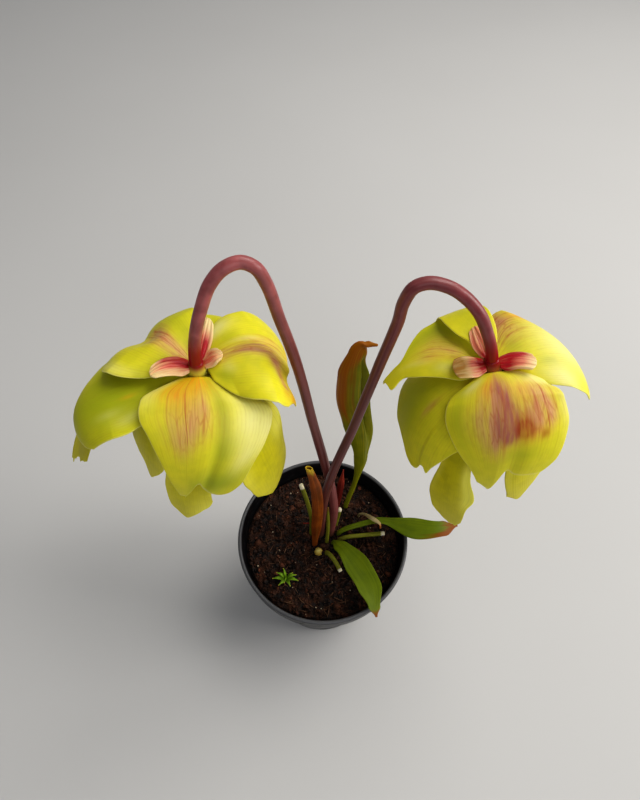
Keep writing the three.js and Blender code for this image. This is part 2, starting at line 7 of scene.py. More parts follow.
import bpy
import numpy as np
from mathutils import Matrix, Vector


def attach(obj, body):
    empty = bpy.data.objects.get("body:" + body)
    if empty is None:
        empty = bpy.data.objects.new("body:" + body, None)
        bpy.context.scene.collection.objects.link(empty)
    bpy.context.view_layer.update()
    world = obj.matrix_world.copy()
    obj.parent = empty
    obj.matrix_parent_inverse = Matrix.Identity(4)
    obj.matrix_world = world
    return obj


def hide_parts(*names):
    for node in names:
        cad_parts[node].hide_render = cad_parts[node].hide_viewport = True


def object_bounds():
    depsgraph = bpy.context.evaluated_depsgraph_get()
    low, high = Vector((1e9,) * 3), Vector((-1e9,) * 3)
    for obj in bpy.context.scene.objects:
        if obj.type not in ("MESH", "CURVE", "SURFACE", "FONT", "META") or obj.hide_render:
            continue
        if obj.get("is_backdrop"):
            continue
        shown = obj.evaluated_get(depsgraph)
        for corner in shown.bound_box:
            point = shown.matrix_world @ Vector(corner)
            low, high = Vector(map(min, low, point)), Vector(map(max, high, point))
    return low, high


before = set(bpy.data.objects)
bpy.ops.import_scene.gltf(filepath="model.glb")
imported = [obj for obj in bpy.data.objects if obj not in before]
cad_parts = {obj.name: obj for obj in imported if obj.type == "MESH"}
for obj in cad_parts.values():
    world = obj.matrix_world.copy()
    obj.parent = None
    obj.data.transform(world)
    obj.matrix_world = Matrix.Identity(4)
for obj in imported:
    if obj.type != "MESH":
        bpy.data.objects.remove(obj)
cad_box = [list(corner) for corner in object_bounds()]
print("CAD nodes:", len(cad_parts), "box:", np.round(cad_box, 4).tolist())

# %% [markdown]
# ## Lengths
# The CAD was drawn in millimetres and Blender counts in metres, so every shape below is worked out in
# millimetres and scaled once, when it becomes a mesh. These few lengths are shared by many pieces.

# %% Shared lengths, in millimetres
MM = 0.001
POT = dict(rim=45, base=31, height=80, wall=1.3, collar=12, step=1.4, lip=1, floor=2)
SOIL_LEVEL = 70
ROOT_DEPTH = 12
STEM_RADIUS = 2.15
SEPAL_THICKNESS = 0.7
PETAL_THICKNESS = 0.6
BRACT_THICKNESS = 0.7
RECEPTACLE = dict(radius=3.6, top=4, bottom=-7.6)
print("pot", POT["rim"] * 2, "mm across, soil at", SOIL_LEVEL, "mm")

# %% [markdown]
# ## Meshes from arrays
# A surface is a grid of points, and each cell of the grid becomes two triangles. A thin blade is two such
# grids that share their rim, and a stem is a grid that closes round on itself, with a pole at each end.
# Working on whole arrays keeps this fast, and a shell built this way is always closed.

# %% Small numeric helpers
def unit(vectors):
    """Each vector divided by its own length."""
    return vectors / np.maximum(np.linalg.norm(vectors, axis=-1, keepdims=True), 1e-9)


def lerp(a, b, t):
    """a where t is 0, b where t is 1, and a straight mix between them."""
    return a + (b - a) * t


def eased(t, low=0.0, high=1.0):
    """3t squared less 2t cubed, with t running from 0 at low to 1 at high."""
    t = np.clip((np.asarray(t, float) - low) / (high - low), 0, 1)
    return t * t * (3 - 2 * t)


def sizes(*stops):
    """A size along a piece: between two stops (u, size) it eases from the one to the other."""
    at, size = np.array(stops, float).T

    def size_at(u):
        k = np.clip(np.searchsorted(at, u), 1, len(at) - 1)
        return lerp(size[k - 1], size[k], eased((u - at[k - 1]) / (at[k] - at[k - 1])))

    return size_at


def curve(*stops):
    """A smooth curve through stops (u, size): cubic spans whose slopes agree where they meet."""
    at, size = np.array(stops, float).T
    slope = np.gradient(size, at)

    def size_at(u):
        k = np.clip(np.searchsorted(at, u) - 1, 0, len(at) - 2)
        span = at[k + 1] - at[k]
        t = np.clip((u - at[k]) / span, 0, 1)
        level = lerp(size[k], size[k + 1], t * t * (3 - 2 * t))
        return level + span * t * (1 - t) * ((1 - t) * slope[k] - t * slope[k + 1])

    return size_at


def soft_noise(points, seed, period=16):
    """Random values from -1 to 1 on the corners of unit cubes, eased between them at each point."""
    lattice = np.random.default_rng(seed).uniform(-1, 1, (period,) * 3)
    cell = np.floor(points).astype(int)
    part = eased(points - cell)
    total = 0
    for corner in np.ndindex(2, 2, 2):
        weight = np.prod(np.where(corner, part, 1 - part), axis=-1)
        total = total + weight * lattice[tuple(np.moveaxis((cell + corner) % period, -1, 0))]
    return total


def around(sides):
    """Angles all the way round, in equal steps."""
    return 2 * np.pi * np.arange(sides) / sides


def running_length(line):
    """How far each point of a line is from its start, measured along it."""
    return np.concatenate([[0], np.cumsum(np.linalg.norm(np.diff(line, axis=0), axis=1))])


def bump(value, centre, width):
    """A bell-shaped hump: e to the minus squared distance from its centre, in widths."""
    return np.exp(-(((value - centre) / width) ** 2))


print("noise at two points:", soft_noise(np.array([[0.2, 0.4, 0.1], [3.1, 2.2, 7.5]]), 1).round(3).tolist())

# %% Grids, shells and pieces
def grid_triangles(index):
    """Two triangles for each cell of a grid of point numbers, facing along row step x column step."""
    a, b, c, d = index[:-1, :-1], index[1:, :-1], index[1:, 1:], index[:-1, 1:]
    return np.stack([a, b, c, a, c, d], -1).reshape(-1, 3)


def closed_tube(rings, **fields):
    """Rings (rows, sides, 3) joined into a tube, with a pole in the middle of its first and last ring."""
    rows, sides = rings.shape[:2]
    index = np.arange(rows * sides).reshape(rows, sides)
    wrapped = np.hstack([index, index[:, :1]])
    first, last = rows * sides, rows * sides + 1
    start = np.stack([np.roll(index[0], -1), index[0], np.full(sides, first)], -1)
    end = np.stack([index[-1], np.roll(index[-1], -1), np.full(sides, last)], -1)
    triangles = np.concatenate([grid_triangles(wrapped)[:, ::-1], start, end])

    def with_poles(values):
        flat = values.reshape(rows * sides, -1)
        return np.concatenate([flat, values[:1].reshape(sides, -1).mean(0)[None],
                               values[-1:].reshape(sides, -1).mean(0)[None]])

    return with_poles(rings), triangles, {name: with_poles(values) for name, values in fields.items()}


def closed_sheet(front, back, **fields):
    """Two grids of the same size, whose outer rows and columns are the same points, as one thin shell."""
    rows, columns = front.shape[:2]
    upper = np.arange(rows * columns).reshape(rows, columns)
    lower = upper.copy()
    lower[1:-1, 1:-1] = rows * columns + np.arange((rows - 2) * (columns - 2)).reshape(rows - 2, columns - 2)
    triangles = np.concatenate([grid_triangles(upper), grid_triangles(lower)[:, ::-1]])

    def both(values, others):
        return np.concatenate([values.reshape(rows * columns, -1),
                               others[1:-1, 1:-1].reshape((rows - 2) * (columns - 2), -1)])

    return both(front, back), triangles, {name: both(values, values) for name, values in fields.items()}


def joined(shells):
    """Several shells as one: their points and fields in a row, and their triangles renumbered."""
    starts = np.cumsum([0] + [len(points) for points, _, _ in shells])
    points = np.concatenate([points for points, _, _ in shells])
    triangles = np.concatenate([faces + start for (_, faces, _), start in zip(shells, starts)])
    fields = {name: np.concatenate([shell[2][name] for shell in shells]) for name in shells[0][2]}
    return points, triangles, fields


def add_object(name, data):
    """An object in the scene that shows a mesh, a lamp or a lens."""
    thing = bpy.data.objects.new(name, data)
    bpy.context.scene.collection.objects.link(thing)
    return thing


def make_piece(name, shell, material, slot, *nodes):
    """Puts a shell (mm) into a mesh object, with its fields as attributes, in place of its CAD nodes."""
    points, triangles, fields = shell
    mesh = bpy.data.meshes.new(name)
    mesh.vertices.add(len(points))
    mesh.vertices.foreach_set("co", np.ravel(points * MM).astype(np.float32))
    mesh.loops.add(triangles.size)
    mesh.loops.foreach_set("vertex_index", np.ravel(triangles).astype(np.int32))
    mesh.polygons.add(len(triangles))
    mesh.polygons.foreach_set("loop_start", np.arange(0, triangles.size, 3, dtype=np.int32))
    mesh.update(calc_edges=True)
    mesh.polygons.foreach_set("use_smooth", np.ones(len(triangles), bool))
    for field, values in fields.items():
        wide = values.shape[-1] == 3
        attribute = mesh.attributes.new(field, "FLOAT_VECTOR" if wide else "FLOAT", "POINT")
        attribute.data.foreach_set("vector" if wide else "value", np.ravel(values).astype(np.float32))
    mesh.materials.append(material)
    piece = add_object(name, mesh)
    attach(piece, "root")
    if nodes:
        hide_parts(*nodes)
    print(f"{name}: {len(triangles)} triangles")
    return piece


# %% [markdown]
# ## Routes and tubes
# Stems, pitchers, leaves and stubs all follow a smooth line through a few points, and change width on the
# way. A spline gives the line, and a cross-section is carried along it without twisting. The routes follow
# those of the CAD solids, except that the withered leaf and the centre stub lie a few millimetres off, where
# the photograph shows them.

# %% A smooth route through points
def route_through(points, fine=40):
    """A centripetal Catmull-Rom spline: cubic spans whose end slopes come from the neighbours, spaced by
    the square root of their distance. Gives the place and heading at a share u of its length."""
    p = np.array(points, float)
    p = np.vstack([2 * p[0] - p[1], p, 2 * p[-1] - p[-2]])
    p0, p1, p2, p3 = p[:-3], p[1:-2], p[2:-1], p[3:]
    gap = [np.sqrt(np.linalg.norm(b - a, axis=1, keepdims=True)) for a, b in ((p0, p1), (p1, p2), (p2, p3))]
    leave = gap[1] * ((p1 - p0) / gap[0] - (p2 - p0) / (gap[0] + gap[1]) + (p2 - p1) / gap[1])
    arrive = gap[1] * ((p2 - p1) / gap[1] - (p3 - p1) / (gap[1] + gap[2]) + (p3 - p2) / gap[2])
    w = np.linspace(0, 1, fine, endpoint=False)[None, :, None]
    p1, p2, leave, arrive = p1[:, None], p2[:, None], leave[:, None], arrive[:, None]
    square, cube = 3 * (p2 - p1) - 2 * leave - arrive, 2 * (p1 - p2) + leave + arrive
    spans = p1 + leave * w + square * w**2 + cube * w**3
    line = np.vstack([spans.reshape(-1, 3), p[-2]])
    run = running_length(line)
    slope = unit(np.gradient(line, run, axis=0))

    def at(u):
        s = np.asarray(u, float) * run[-1]
        place = np.stack([np.interp(s, run, line[:, k]) for k in range(3)], -1)
        return place, unit(np.stack([np.interp(s, run, slope[:, k]) for k in range(3)], -1))

    at.length = run[-1]
    return at


def rooted(foot, points):
    """A route that rises straight out of the soil at its foot and then runs through the points."""
    x, y = foot
    up = [[x, y, SOIL_LEVEL - ROOT_DEPTH], [x, y, SOIL_LEVEL - 5], [x, y, SOIL_LEVEL + 2.5]]
    return route_through(up + points)


CAP_ROWS = 5
GRAIN_STEP = 10


def tube_along(route, width, depth, aside, rows, sides, section=None, round_end=True, **extra):
    """A cross-section carried along a route. section(u, a) gives (x, y) on a unit circle by default, which
    is then stretched by width towards `aside` and by depth across it. A round end closes in a half circle."""
    u, reach, shrink = np.linspace(0, 1, rows), np.zeros(rows), np.ones(rows)
    if round_end:
        turn = np.linspace(0, np.pi / 2, CAP_ROWS + 2)[1:-1]
        u = np.append(u, np.ones(CAP_ROWS))
        reach = np.append(reach, np.sin(turn))
        shrink = np.append(shrink, np.cos(turn))
    centre, heading = route(u)
    side = unit(np.asarray(aside, float) - (heading @ np.asarray(aside, float))[:, None] * heading)
    across = np.cross(heading, side)
    uu, aa = np.meshgrid(u, around(sides), indexing="ij")
    x, y = section(uu, aa) if section else (np.cos(aa), np.sin(aa))
    w, d = (width(u) * shrink)[:, None], (depth(u) * shrink)[:, None]
    centre = centre + heading * (reach * np.minimum(width(1.0), depth(1.0)))[:, None]
    rings = centre[:, None] + side[:, None] * (w * x)[..., None] + across[:, None] * (d * y)[..., None]
    grain = np.stack([np.cos(aa), np.sin(aa), uu * route.length / GRAIN_STEP], -1)
    fields = {name: f(uu, aa, x, y) for name, f in extra.items()}
    return closed_tube(rings, grain=grain, along=uu, **fields)


trial = route_through([[0, 0, 0], [0, 3, 10], [2, 8, 20]])
print("a trial route is", round(trial.length, 2), "mm long")

# %% [markdown]
# ## Ways to wire a material
# A material is a small graph of nodes. These helpers add one node each, so that a finish further down
# reads like a recipe: a noise, a threshold, a mix of two colours. Patterns follow the piece, because they
# read its own `grain` attribute: across, along and round the blade or stem.

# %% Node helpers
def plug(tree, socket, value):
    """Links another node's socket to this one, or sets a plain value."""
    if isinstance(value, bpy.types.NodeSocket):
        tree.links.new(value, socket)
    else:
        socket.default_value = value


def add_node(tree, kind, inputs=None, **options):
    """One node. Inputs are sockets to link or values to set, by socket name or number."""
    node = tree.nodes.new(kind)
    for option, value in options.items():
        setattr(node, option, value)
    for socket, value in (inputs or {}).items():
        plug(tree, node.inputs[socket], value)
    return node


def rgb(red, green, blue):
    """A colour for a socket, in linear light."""
    return (red, green, blue, 1)


def mixed(tree, factor, first, second):
    """The first colour, turning into the second as factor goes from 0 to 1."""
    return add_node(tree, "ShaderNodeMix", {0: factor, 6: first, 7: second}, data_type="RGBA").outputs[2]


def layered(tree, colour, *layers):
    """A colour with layers (mask, tint) laid over it, one after the other."""
    for mask, tint in layers:
        colour = mixed(tree, mask, colour, tint)
    return colour


def maths(tree, operation, *values, clamp=False):
    """One arithmetic step on one to three values."""
    return add_node(tree, "ShaderNodeMath", dict(enumerate(values)), operation=operation,
                    use_clamp=clamp).outputs[0]


def times(tree, value, factor, clamp=False):
    """value x factor."""
    return maths(tree, "MULTIPLY", value, factor, clamp=clamp)


def times_plus(tree, value, factor, offset, clamp=False):
    """value x factor + offset."""
    return maths(tree, "MULTIPLY_ADD", value, factor, offset, clamp=clamp)


def streaked(tree, mask, streaks, depth, least, clamp=True):
    """A mask that streaks make weaker and stronger, from least to least + depth of itself."""
    return times(tree, mask, times_plus(tree, streaks, depth, least), clamp)


def field(tree, name, output="Fac"):
    """One of the piece's own attributes."""
    return add_node(tree, "ShaderNodeAttribute", attribute_name=name).outputs[output]


def on_piece(tree):
    """Where a point is on its piece, in metres."""
    return add_node(tree, "ShaderNodeTexCoord").outputs["Object"]


def stretched(tree, vector, by):
    """Pattern coordinates, multiplied by another vector."""
    return add_node(tree, "ShaderNodeVectorMath", {0: vector, 1: by}, operation="MULTIPLY").outputs[0]


def noise(tree, vector, scale, detail):
    """Fractal noise, about 0.5 on average."""
    inputs = {"Vector": vector, "Scale": scale, "Detail": detail}
    return add_node(tree, "ShaderNodeTexNoise", inputs).outputs[0]


def remapped(tree, value, low, high, out_low=0.0, out_high=1.0):
    """A value from low to high, eased into the range from out_low to out_high."""
    inputs = {0: value, 1: low, 2: high, 3: out_low, 4: out_high}
    return add_node(tree, "ShaderNodeMapRange", inputs, interpolation_type="SMOOTHSTEP").outputs[0]


def new_material(name):
    """A material with only a Principled shader and an output. Gives the material, its tree and the shader."""
    material = bpy.data.materials.new(name)
    material.use_nodes = True
    tree = material.node_tree
    tree.nodes.clear()
    shader = add_node(tree, "ShaderNodeBsdfPrincipled")
    add_node(tree, "ShaderNodeOutputMaterial", {"Surface": shader.outputs[0]})
    return material, tree, shader


def set_shader(tree, shader, **inputs):
    """Sets or links the shader's sockets, with their names written with underscores."""
    for socket, value in inputs.items():
        plug(tree, shader.inputs[socket.replace("_", " ")], value)


def bumped(tree, height, strength, distance):
    """A normal that follows a height from 0 to 1, where distance is its relief in metres."""
    return add_node(tree, "ShaderNodeBump", {"Height": height, "Strength": strength,
                                            "Distance": distance}).outputs[0]


def new_group(name, inputs, outputs):
    """An empty shader group with named sockets. Gives it with its inner input and output sockets."""
    group = bpy.data.node_groups.new(name, "ShaderNodeTree")
    for socket, kind in inputs.items():
        group.interface.new_socket(socket, in_out="INPUT", socket_type=kind)
    for socket in outputs:
        group.interface.new_socket(socket, in_out="OUTPUT", socket_type="NodeSocketFloat")
    return group, add_node(group, "NodeGroupInput").outputs, add_node(group, "NodeGroupOutput").inputs


def use_group(tree, group, **inputs):
    """Places a group in a tree and gives its output sockets."""
    return add_node(tree, "ShaderNodeGroup", inputs, node_tree=group).outputs


# %% [markdown]
# ## Effects that many finishes share
# A living blade is never one colour: its veins run along it, fork a little and are joined by a fine net. If
# the position across the blade is counted in veins, the distance to the nearest whole number is the distance
# to a vein, and its number picks how strong it is. The net is the edges of long Voronoi cells. The skin
# group gives fine pebbles and broad patches. Both are groups, placed in each material with other values.

# %% The veins and skin groups
VECTOR, FLOAT = "NodeSocketVector", "NodeSocketFloat"
VEINS, inside, out = new_group(
    "veins", {"Grain": VECTOR, "Across": FLOAT, "Along": FLOAT, "Width": FLOAT}, ["Lines", "Net", "Streaks"])
counts = add_node(VEINS, "ShaderNodeCombineXYZ",
                  {0: inside["Across"], 1: inside["Across"], 2: inside["Along"]}).outputs[0]
drawn = stretched(VEINS, inside["Grain"], counts)
wander = maths(VEINS, "SUBTRACT", noise(VEINS, drawn, 0.55, 2.0), 0.5)
sideways = add_node(VEINS, "ShaderNodeSeparateXYZ", {0: drawn}).outputs[0]
counted = times_plus(VEINS, wander, 1.1, sideways)
number = maths(VEINS, "ROUND", counted)
away = maths(VEINS, "ABSOLUTE", maths(VEINS, "SUBTRACT", counted, number))
line = maths(VEINS, "SUBTRACT", 1.0, maths(VEINS, "DIVIDE", away, inside["Width"]), clamp=True)
strong = add_node(VEINS, "ShaderNodeTexWhiteNoise", {"W": number}, noise_dimensions="1D").outputs["Value"]
broken = remapped(VEINS, noise(VEINS, stretched(VEINS, drawn, (1, 1, 1.8)), 1.0, 1.0), 0.34, 0.56, 0.25, 1.0)
strength = times(VEINS, broken, times_plus(VEINS, strong, 0.75, 0.25))
flattened = stretched(VEINS, drawn, (1, 0, 0.6))
cells = add_node(VEINS, "ShaderNodeTexVoronoi", {"Vector": flattened, "Scale": 2.6},
                 feature="DISTANCE_TO_EDGE").outputs["Distance"]
plug(VEINS, out["Lines"], times(VEINS, line, strength))
plug(VEINS, out["Net"], remapped(VEINS, cells, 0.0, 0.11, 1.0, 0.0))
plug(VEINS, out["Streaks"], remapped(VEINS, noise(VEINS, drawn, 0.6, 3.0), 0.32, 0.68))

SKIN, inside, out = new_group("skin", {"Scale": FLOAT}, ["Height", "Patches"])
place = on_piece(SKIN)
broad = noise(SKIN, place, times(SKIN, inside["Scale"], 0.09), 2.0)
plug(SKIN, out["Height"], noise(SKIN, place, inside["Scale"], 4.0))
plug(SKIN, out["Patches"], remapped(SKIN, broad, 0.35, 0.65))
print("groups:", VEINS.name, "and", SKIN.name)

# %% [markdown]
# ## Sepals: the shape
# The sepals are the big yellow plates of the flower, domed like pieces of a balloon. A rib, drawn as a cubic
# Bezier curve in reach and height, springs from the flower's centre and turns down to the tip. To each side
# the blade bends round the flower's axis. A curve for each edge says how wide it is, and a third curve says
# how far each part of it reaches, so that a tip may be pointed, notched or torn as it is on the plant.

# %% Curves and the bent sheet
LEAST_BEND, MOST_BEND = 0.004, 0.075
INNER_REACH = 9
LEAST_DIP = 0.35
ROOT_REACH = RECEPTACLE["radius"] - 0.4
LAYER = dict(bract=1.8, outer=0.5, half=-0.7, inner=-1.9, petal=-4.2)


def rib_of(shape):
    """A cubic Bezier curve in (reach, height) by arc length. Its azimuth turns to the tip's as u squared."""
    leave, arrive = np.radians(shape["away_at"]), np.radians(shape["down_at"])
    out, down, tip = shape["out"], shape["down"], shape["tip"]
    root = np.array([shape.get("reach", ROOT_REACH), LAYER[shape["layer"]]])
    end = np.array(tip[:2], float)
    leaving = root + out * np.array([np.cos(leave), -np.sin(leave)])
    arriving = end - down * np.array([np.cos(arrive), -np.sin(arrive)])
    t = np.linspace(0, 1, 401)[:, None]
    line = (1 - t) ** 3 * root + 3 * (1 - t) ** 2 * t * leaving + 3 * (1 - t) * t**2 * arriving + t**3 * end
    slope = (1 - t) ** 2 * (leaving - root) + 2 * (1 - t) * t * (arriving - leaving) + t**2 * (end - arriving)
    run = running_length(line)
    dip = np.unwrap(np.arctan2(-slope[:, 1], slope[:, 0]))
    last = tip[2] if len(tip) > 2 else shape["azimuth"]

    def at(u):
        s = u * run[-1]
        turn = np.radians(lerp(shape["azimuth"], last, u * u))
        return np.interp(s, run, line[:, 0]), np.interp(s, run, line[:, 1]), np.interp(s, run, dip), turn

    return at


def bent_sheet(u, y, shape):
    """A point at u along the rib and y mm across it, on a circle round the flower's axis that is as tight
    as arch x sin(dip) / reach says. arch holds a value for each side of the rib."""
    r, z, dip, turn = rib_of(shape)(u)
    lean = np.sin(np.clip(dip, LEAST_DIP, np.pi / 2)) / np.maximum(r, shape.get("least_reach", INNER_REACH))
    arch = np.where(y < 0, *shape["arch"])
    bend = np.clip(arch * lean, LEAST_BEND, shape.get("most_bend", MOST_BEND))
    sag, across = (1 - np.cos(y * bend)) / bend, np.sin(y * bend) / bend
    reach, height = r - sag * np.sin(dip), z - sag * np.cos(dip)
    return np.stack([reach * np.cos(turn) - across * np.sin(turn),
                     reach * np.sin(turn) + across * np.cos(turn), height], -1)


def blade_grid(rows, columns):
    """s from root to end, closer together at the end, and v from edge to edge, closer together at both."""
    s = 1 - (1 - np.linspace(0, 1, rows)) ** 1.5
    v = np.linspace(-1, 1, columns)
    return np.meshgrid(s, lerp(v, np.sin(v * np.pi / 2), 0.6), indexing="ij")


def plate(s, v, shape):
    """The blade itself: u = s x end(v), and y = v x the width of its side at that u."""
    u = s * shape["end"](v)
    y = v * np.where(v < 0, shape["left"](u), shape["right"](u))
    return u, bent_sheet(u, y, shape)


EDGE_POWER, END_POWER = 24, 60


def blade(s, v, middle, thickness, relief, **fields):
    """A thin shell on a surface: both faces half a thickness from it, meeting in a rounded edge. The half
    thickness falls to 0 as the root of 1 - v to the power EDGE_POWER, and of 1 - s to the power END_POWER."""
    facing = unit(np.cross(np.gradient(middle, axis=0), np.gradient(middle, axis=1)))
    middle = middle + facing * np.asarray(relief)[..., None]
    edge, end = 1 - np.abs(v) ** EDGE_POWER, 1 - s**END_POWER
    half = thickness / 2 * np.sqrt(np.clip(edge, 0, 1) * np.clip(end, 0, 1) * np.clip(s * END_POWER, 0, 1))
    offset = facing * half[..., None]
    return closed_sheet(middle + offset, middle - offset, **fields)


def on_head(points, flower):
    """Tips points about the Y axis by the flower's lean, and sets them at the flower's place."""
    lean = np.radians(flower["lean"])
    x, y, z = np.moveaxis(points, -1, 0)
    tipped = np.stack([x * np.cos(lean) + z * np.sin(lean), y, z * np.cos(lean) - x * np.sin(lean)], -1)
    return tipped + np.array(flower["at"], float)


FLOWERS = [dict(name="left", at=[-46.8, 14, 207], lean=8), dict(name="right", at=[59.5, 18, 206], lean=-12)]


def hang(flower, shell, material, slot, piece, node):
    """Puts a shell that was made round the origin on a flower's head, as a piece in place of a CAD node."""
    points, triangles, fields = shell
    make_piece(f"{flower['name']}_{piece}", (on_head(points, flower), triangles, fields), material, slot,
               f"{flower['name']}_{node}")


def blades(table, seed=0):
    """Each blade of a table {flower: {place: measures}}, with its flower, and with a seed of its own."""
    for flower in FLOWERS:
        for place, shape in table[flower["name"]].items():
            yield flower, place, shape, seed
            seed += 1


def blade_grain(u, v, shift):
    """Pattern coordinates across and along a blade, shifted so that each blade has a pattern of its own."""
    return np.stack([v + shift, v, u], -1)


# %% [markdown]
# Each sepal has its own measures, in millimetres from the flower's centre. Its edges are stops of
# (u, half width), and its end is stops of (v, share of the rib's length).

# %% The edges of the sepals
def sepal(azimuth, layer, tip, leaves, arrives, arch, left, right, end):
    """The measures of one sepal. leaves and arrives are each an angle of dip and the strength of its pull."""
    return dict(azimuth=azimuth, layer=layer, tip=tip, away_at=leaves[0], out=leaves[1], down_at=arrives[0],
                down=arrives[1], arch=arch, left=curve(*left), right=curve(*right), end=curve(*end))


EVEN_END = [(-1, 0.86), (-0.5, 0.97), (0, 1), (0.5, 0.97), (1, 0.86)]
LEFT_SEPALS = dict(
    front=sepal(-80, "half", [32, -40, -92], (-14, 20), (98, 20), (0.3, 0.75),
                [(0, 5), (0.05, 11), (0.1, 17), (0.2, 20), (0.28, 20), (0.4, 17), (0.64, 11), (0.85, 5.5),
                 (1, 1.5)],
                [(0, 7), (0.08, 15), (0.16, 23), (0.24, 27.5), (0.36, 28.8), (0.54, 26.2), (0.66, 23),
                 (0.84, 20.5), (1, 19)],
                [(-1, 0.97), (-0.2, 0.98), (0, 0.975), (0.1, 0.81), (0.25, 0.87), (0.5, 0.95), (0.68, 0.99),
                 (0.88, 0.97), (1, 0.88)]),
    right=sepal(28, "outer", [38.5, -20, 0], (-25, 26), (80, 16), (0.7, 0.7),
                [(0, 7), (0.06, 13), (0.2, 19.7), (0.3, 21.6), (0.39, 22.8), (0.55, 21.5), (0.69, 17.5),
                 (0.87, 11), (1, 9)],
                [(0, 7), (0.1, 13), (0.17, 16.2), (0.29, 19.2), (0.37, 20), (0.47, 21.6), (0.6, 23),
                 (0.8, 20), (1, 15)],
                [(-1, 0.64), (-0.9, 0.72), (-0.6, 0.885), (-0.45, 0.8), (-0.3, 0.74), (0, 0.72), (0.5, 0.74),
                 (1, 0.62)]),
    back=sepal(84, "inner", [35, -18.5], (-6, 22), (88, 16), (1, 1.2),
               [(0, 6), (0.25, 15), (0.5, 18), (0.8, 15), (1, 9)],
               [(0, 6), (0.25, 12.5), (0.5, 15), (0.8, 12.5), (1, 8)], EVEN_END),
    back_left=sepal(142, "outer", [33.5, -20], (-18, 22), (85, 16), (0.5, 0.5),
                    [(0, 6), (0.2, 14), (0.44, 20), (0.6, 21.5), (0.85, 17), (1, 12)],
                    [(0, 7.5), (0.15, 16.5), (0.31, 21.8), (0.42, 23), (0.6, 22), (0.85, 17), (1, 11)],
                    [(-1, 0.85), (-0.5, 0.97), (0, 1), (0.5, 0.95), (0.8, 0.8), (1, 0.62)]),
    left=sepal(196, "inner", [45.3, -23, 200], (7, 27), (92, 14), (2.9, 1.6),
               [(0, 5), (0.3, 12), (0.5, 18), (0.6, 19.8), (0.71, 12.5), (0.85, 6), (1, 3)],
               [(0, 7), (0.2, 13), (0.37, 16), (0.45, 17.3), (0.66, 17.2), (0.85, 16), (1, 14)],
               [(-1, 0.86), (-0.5, 0.9), (0, 0.93), (0.3, 0.945), (0.7, 0.92), (0.9, 0.87), (1, 0.8)]),
)
RIGHT_SEPALS = dict(
    front=sepal(-88, "outer", [31.5, -38, -97], (-12, 20), (98, 20), (0.75, 0.75),
                [(0, 5), (0.05, 9), (0.12, 15.6), (0.2, 18.3), (0.33, 19.6), (0.45, 18), (0.6, 14), (0.75, 9),
                 (0.88, 6), (1, 5)],
                [(0, 9), (0.06, 18), (0.12, 21.5), (0.2, 23), (0.43, 26), (0.6, 24.8), (0.71, 22.8),
                 (0.82, 20.5), (1, 18)],
                [(-1, 0.86), (-0.7, 0.91), (-0.4, 0.955), (-0.24, 0.975), (-0.1, 0.965), (0, 0.925),
                 (0.1, 0.77), (0.3, 0.79), (0.6, 0.82), (0.85, 0.825), (1, 0.75)]),
    right=sepal(24, "inner", [36, -23.5, 10], (-6, 21), (86, 16), (0.8, 0.8),
                [(0, 6), (0.25, 15), (0.5, 19), (0.75, 18), (1, 12)],
                [(0, 6), (0.1, 15), (0.2, 22.3), (0.32, 27.3), (0.45, 28), (0.6, 27.5), (0.8, 24), (1, 15)],
                EVEN_END),
    back=sepal(104, "outer", [35, -12.5, 110], (-28, 19), (86, 14), (0.45, 0.2),
               [(0, 3), (0.2, 6.5), (0.5, 8.5), (0.8, 8), (1, 5)],
               [(0, 2.5), (0.21, 4.8), (0.29, 7), (0.45, 8.8), (0.62, 8.6), (0.85, 7), (1, 5)], EVEN_END),
    left=sepal(158, "half", [40, -6, 178], (-10, 16), (30, 12), (1, 1.1),
               [(0, 6), (0.2, 15), (0.42, 23.5), (0.53, 23.8), (0.6, 20), (0.68, 16.4), (0.74, 10), (0.78, 5),
                (0.88, 2), (1, 0.8)],
               [(0, 5), (0.15, 8.3), (0.31, 8.8), (0.6, 8), (0.79, 6.1), (0.86, 7.4), (0.91, 6.4),
                (0.94, 3.7), (0.98, 0.6), (1, 0.3)],
               [(-1, 1), (1, 1)]),
    front_left=sepal(-162, "inner", [38.5, -43, -150], (-3, 25), (96, 18), (0.9, 1.3),
                     [(0, 6), (0.2, 15), (0.45, 21.5), (0.62, 21), (0.75, 19), (1, 12)],
                     [(0, 5), (0.15, 14), (0.3, 19.5), (0.5, 21), (0.7, 21), (1, 18)],
                     [(-1, 0.6), (-0.7, 0.7), (-0.4, 0.72), (-0.15, 0.77), (0, 0.83), (0.18, 0.86),
                      (0.34, 0.82), (0.45, 0.745), (0.51, 0.75), (0.57, 0.785), (0.67, 0.7), (0.78, 0.61),
                      (1, 0.4)]),
)
SEPALS = {"left": LEFT_SEPALS, "right": RIGHT_SEPALS}
print("sepals:", len(LEFT_SEPALS) + len(RIGHT_SEPALS))

# %% [markdown]
# ## Sepals: the colours
# The yellow is not even. It turns green in places, and olive in the hollows, folds and under the other
# sepals, which there is painted shade. It turns cream where the blade is thin, and paler where it faces the
# lamps, which is painted highlight. It is orange near the centre, and mauve or red along the midrib. Each of
# these tints is a field from 0 to 1 on the blade, the sum of a few soft patches that are placed at (u, v),
# and the material mixes its colours by them.

# %% Patches of tint on each sepal
def patches(u, v, *spots):
    """The sum of soft patches, each (u, v, length, breadth, strength), held between 0 and 1."""
    total = sum(strength * bump(u, at_u, length) * bump(v, at_v, breadth)
                for at_u, at_v, length, breadth, strength in spots)
    return np.clip(total, 0, 1) if spots else np.zeros_like(u)
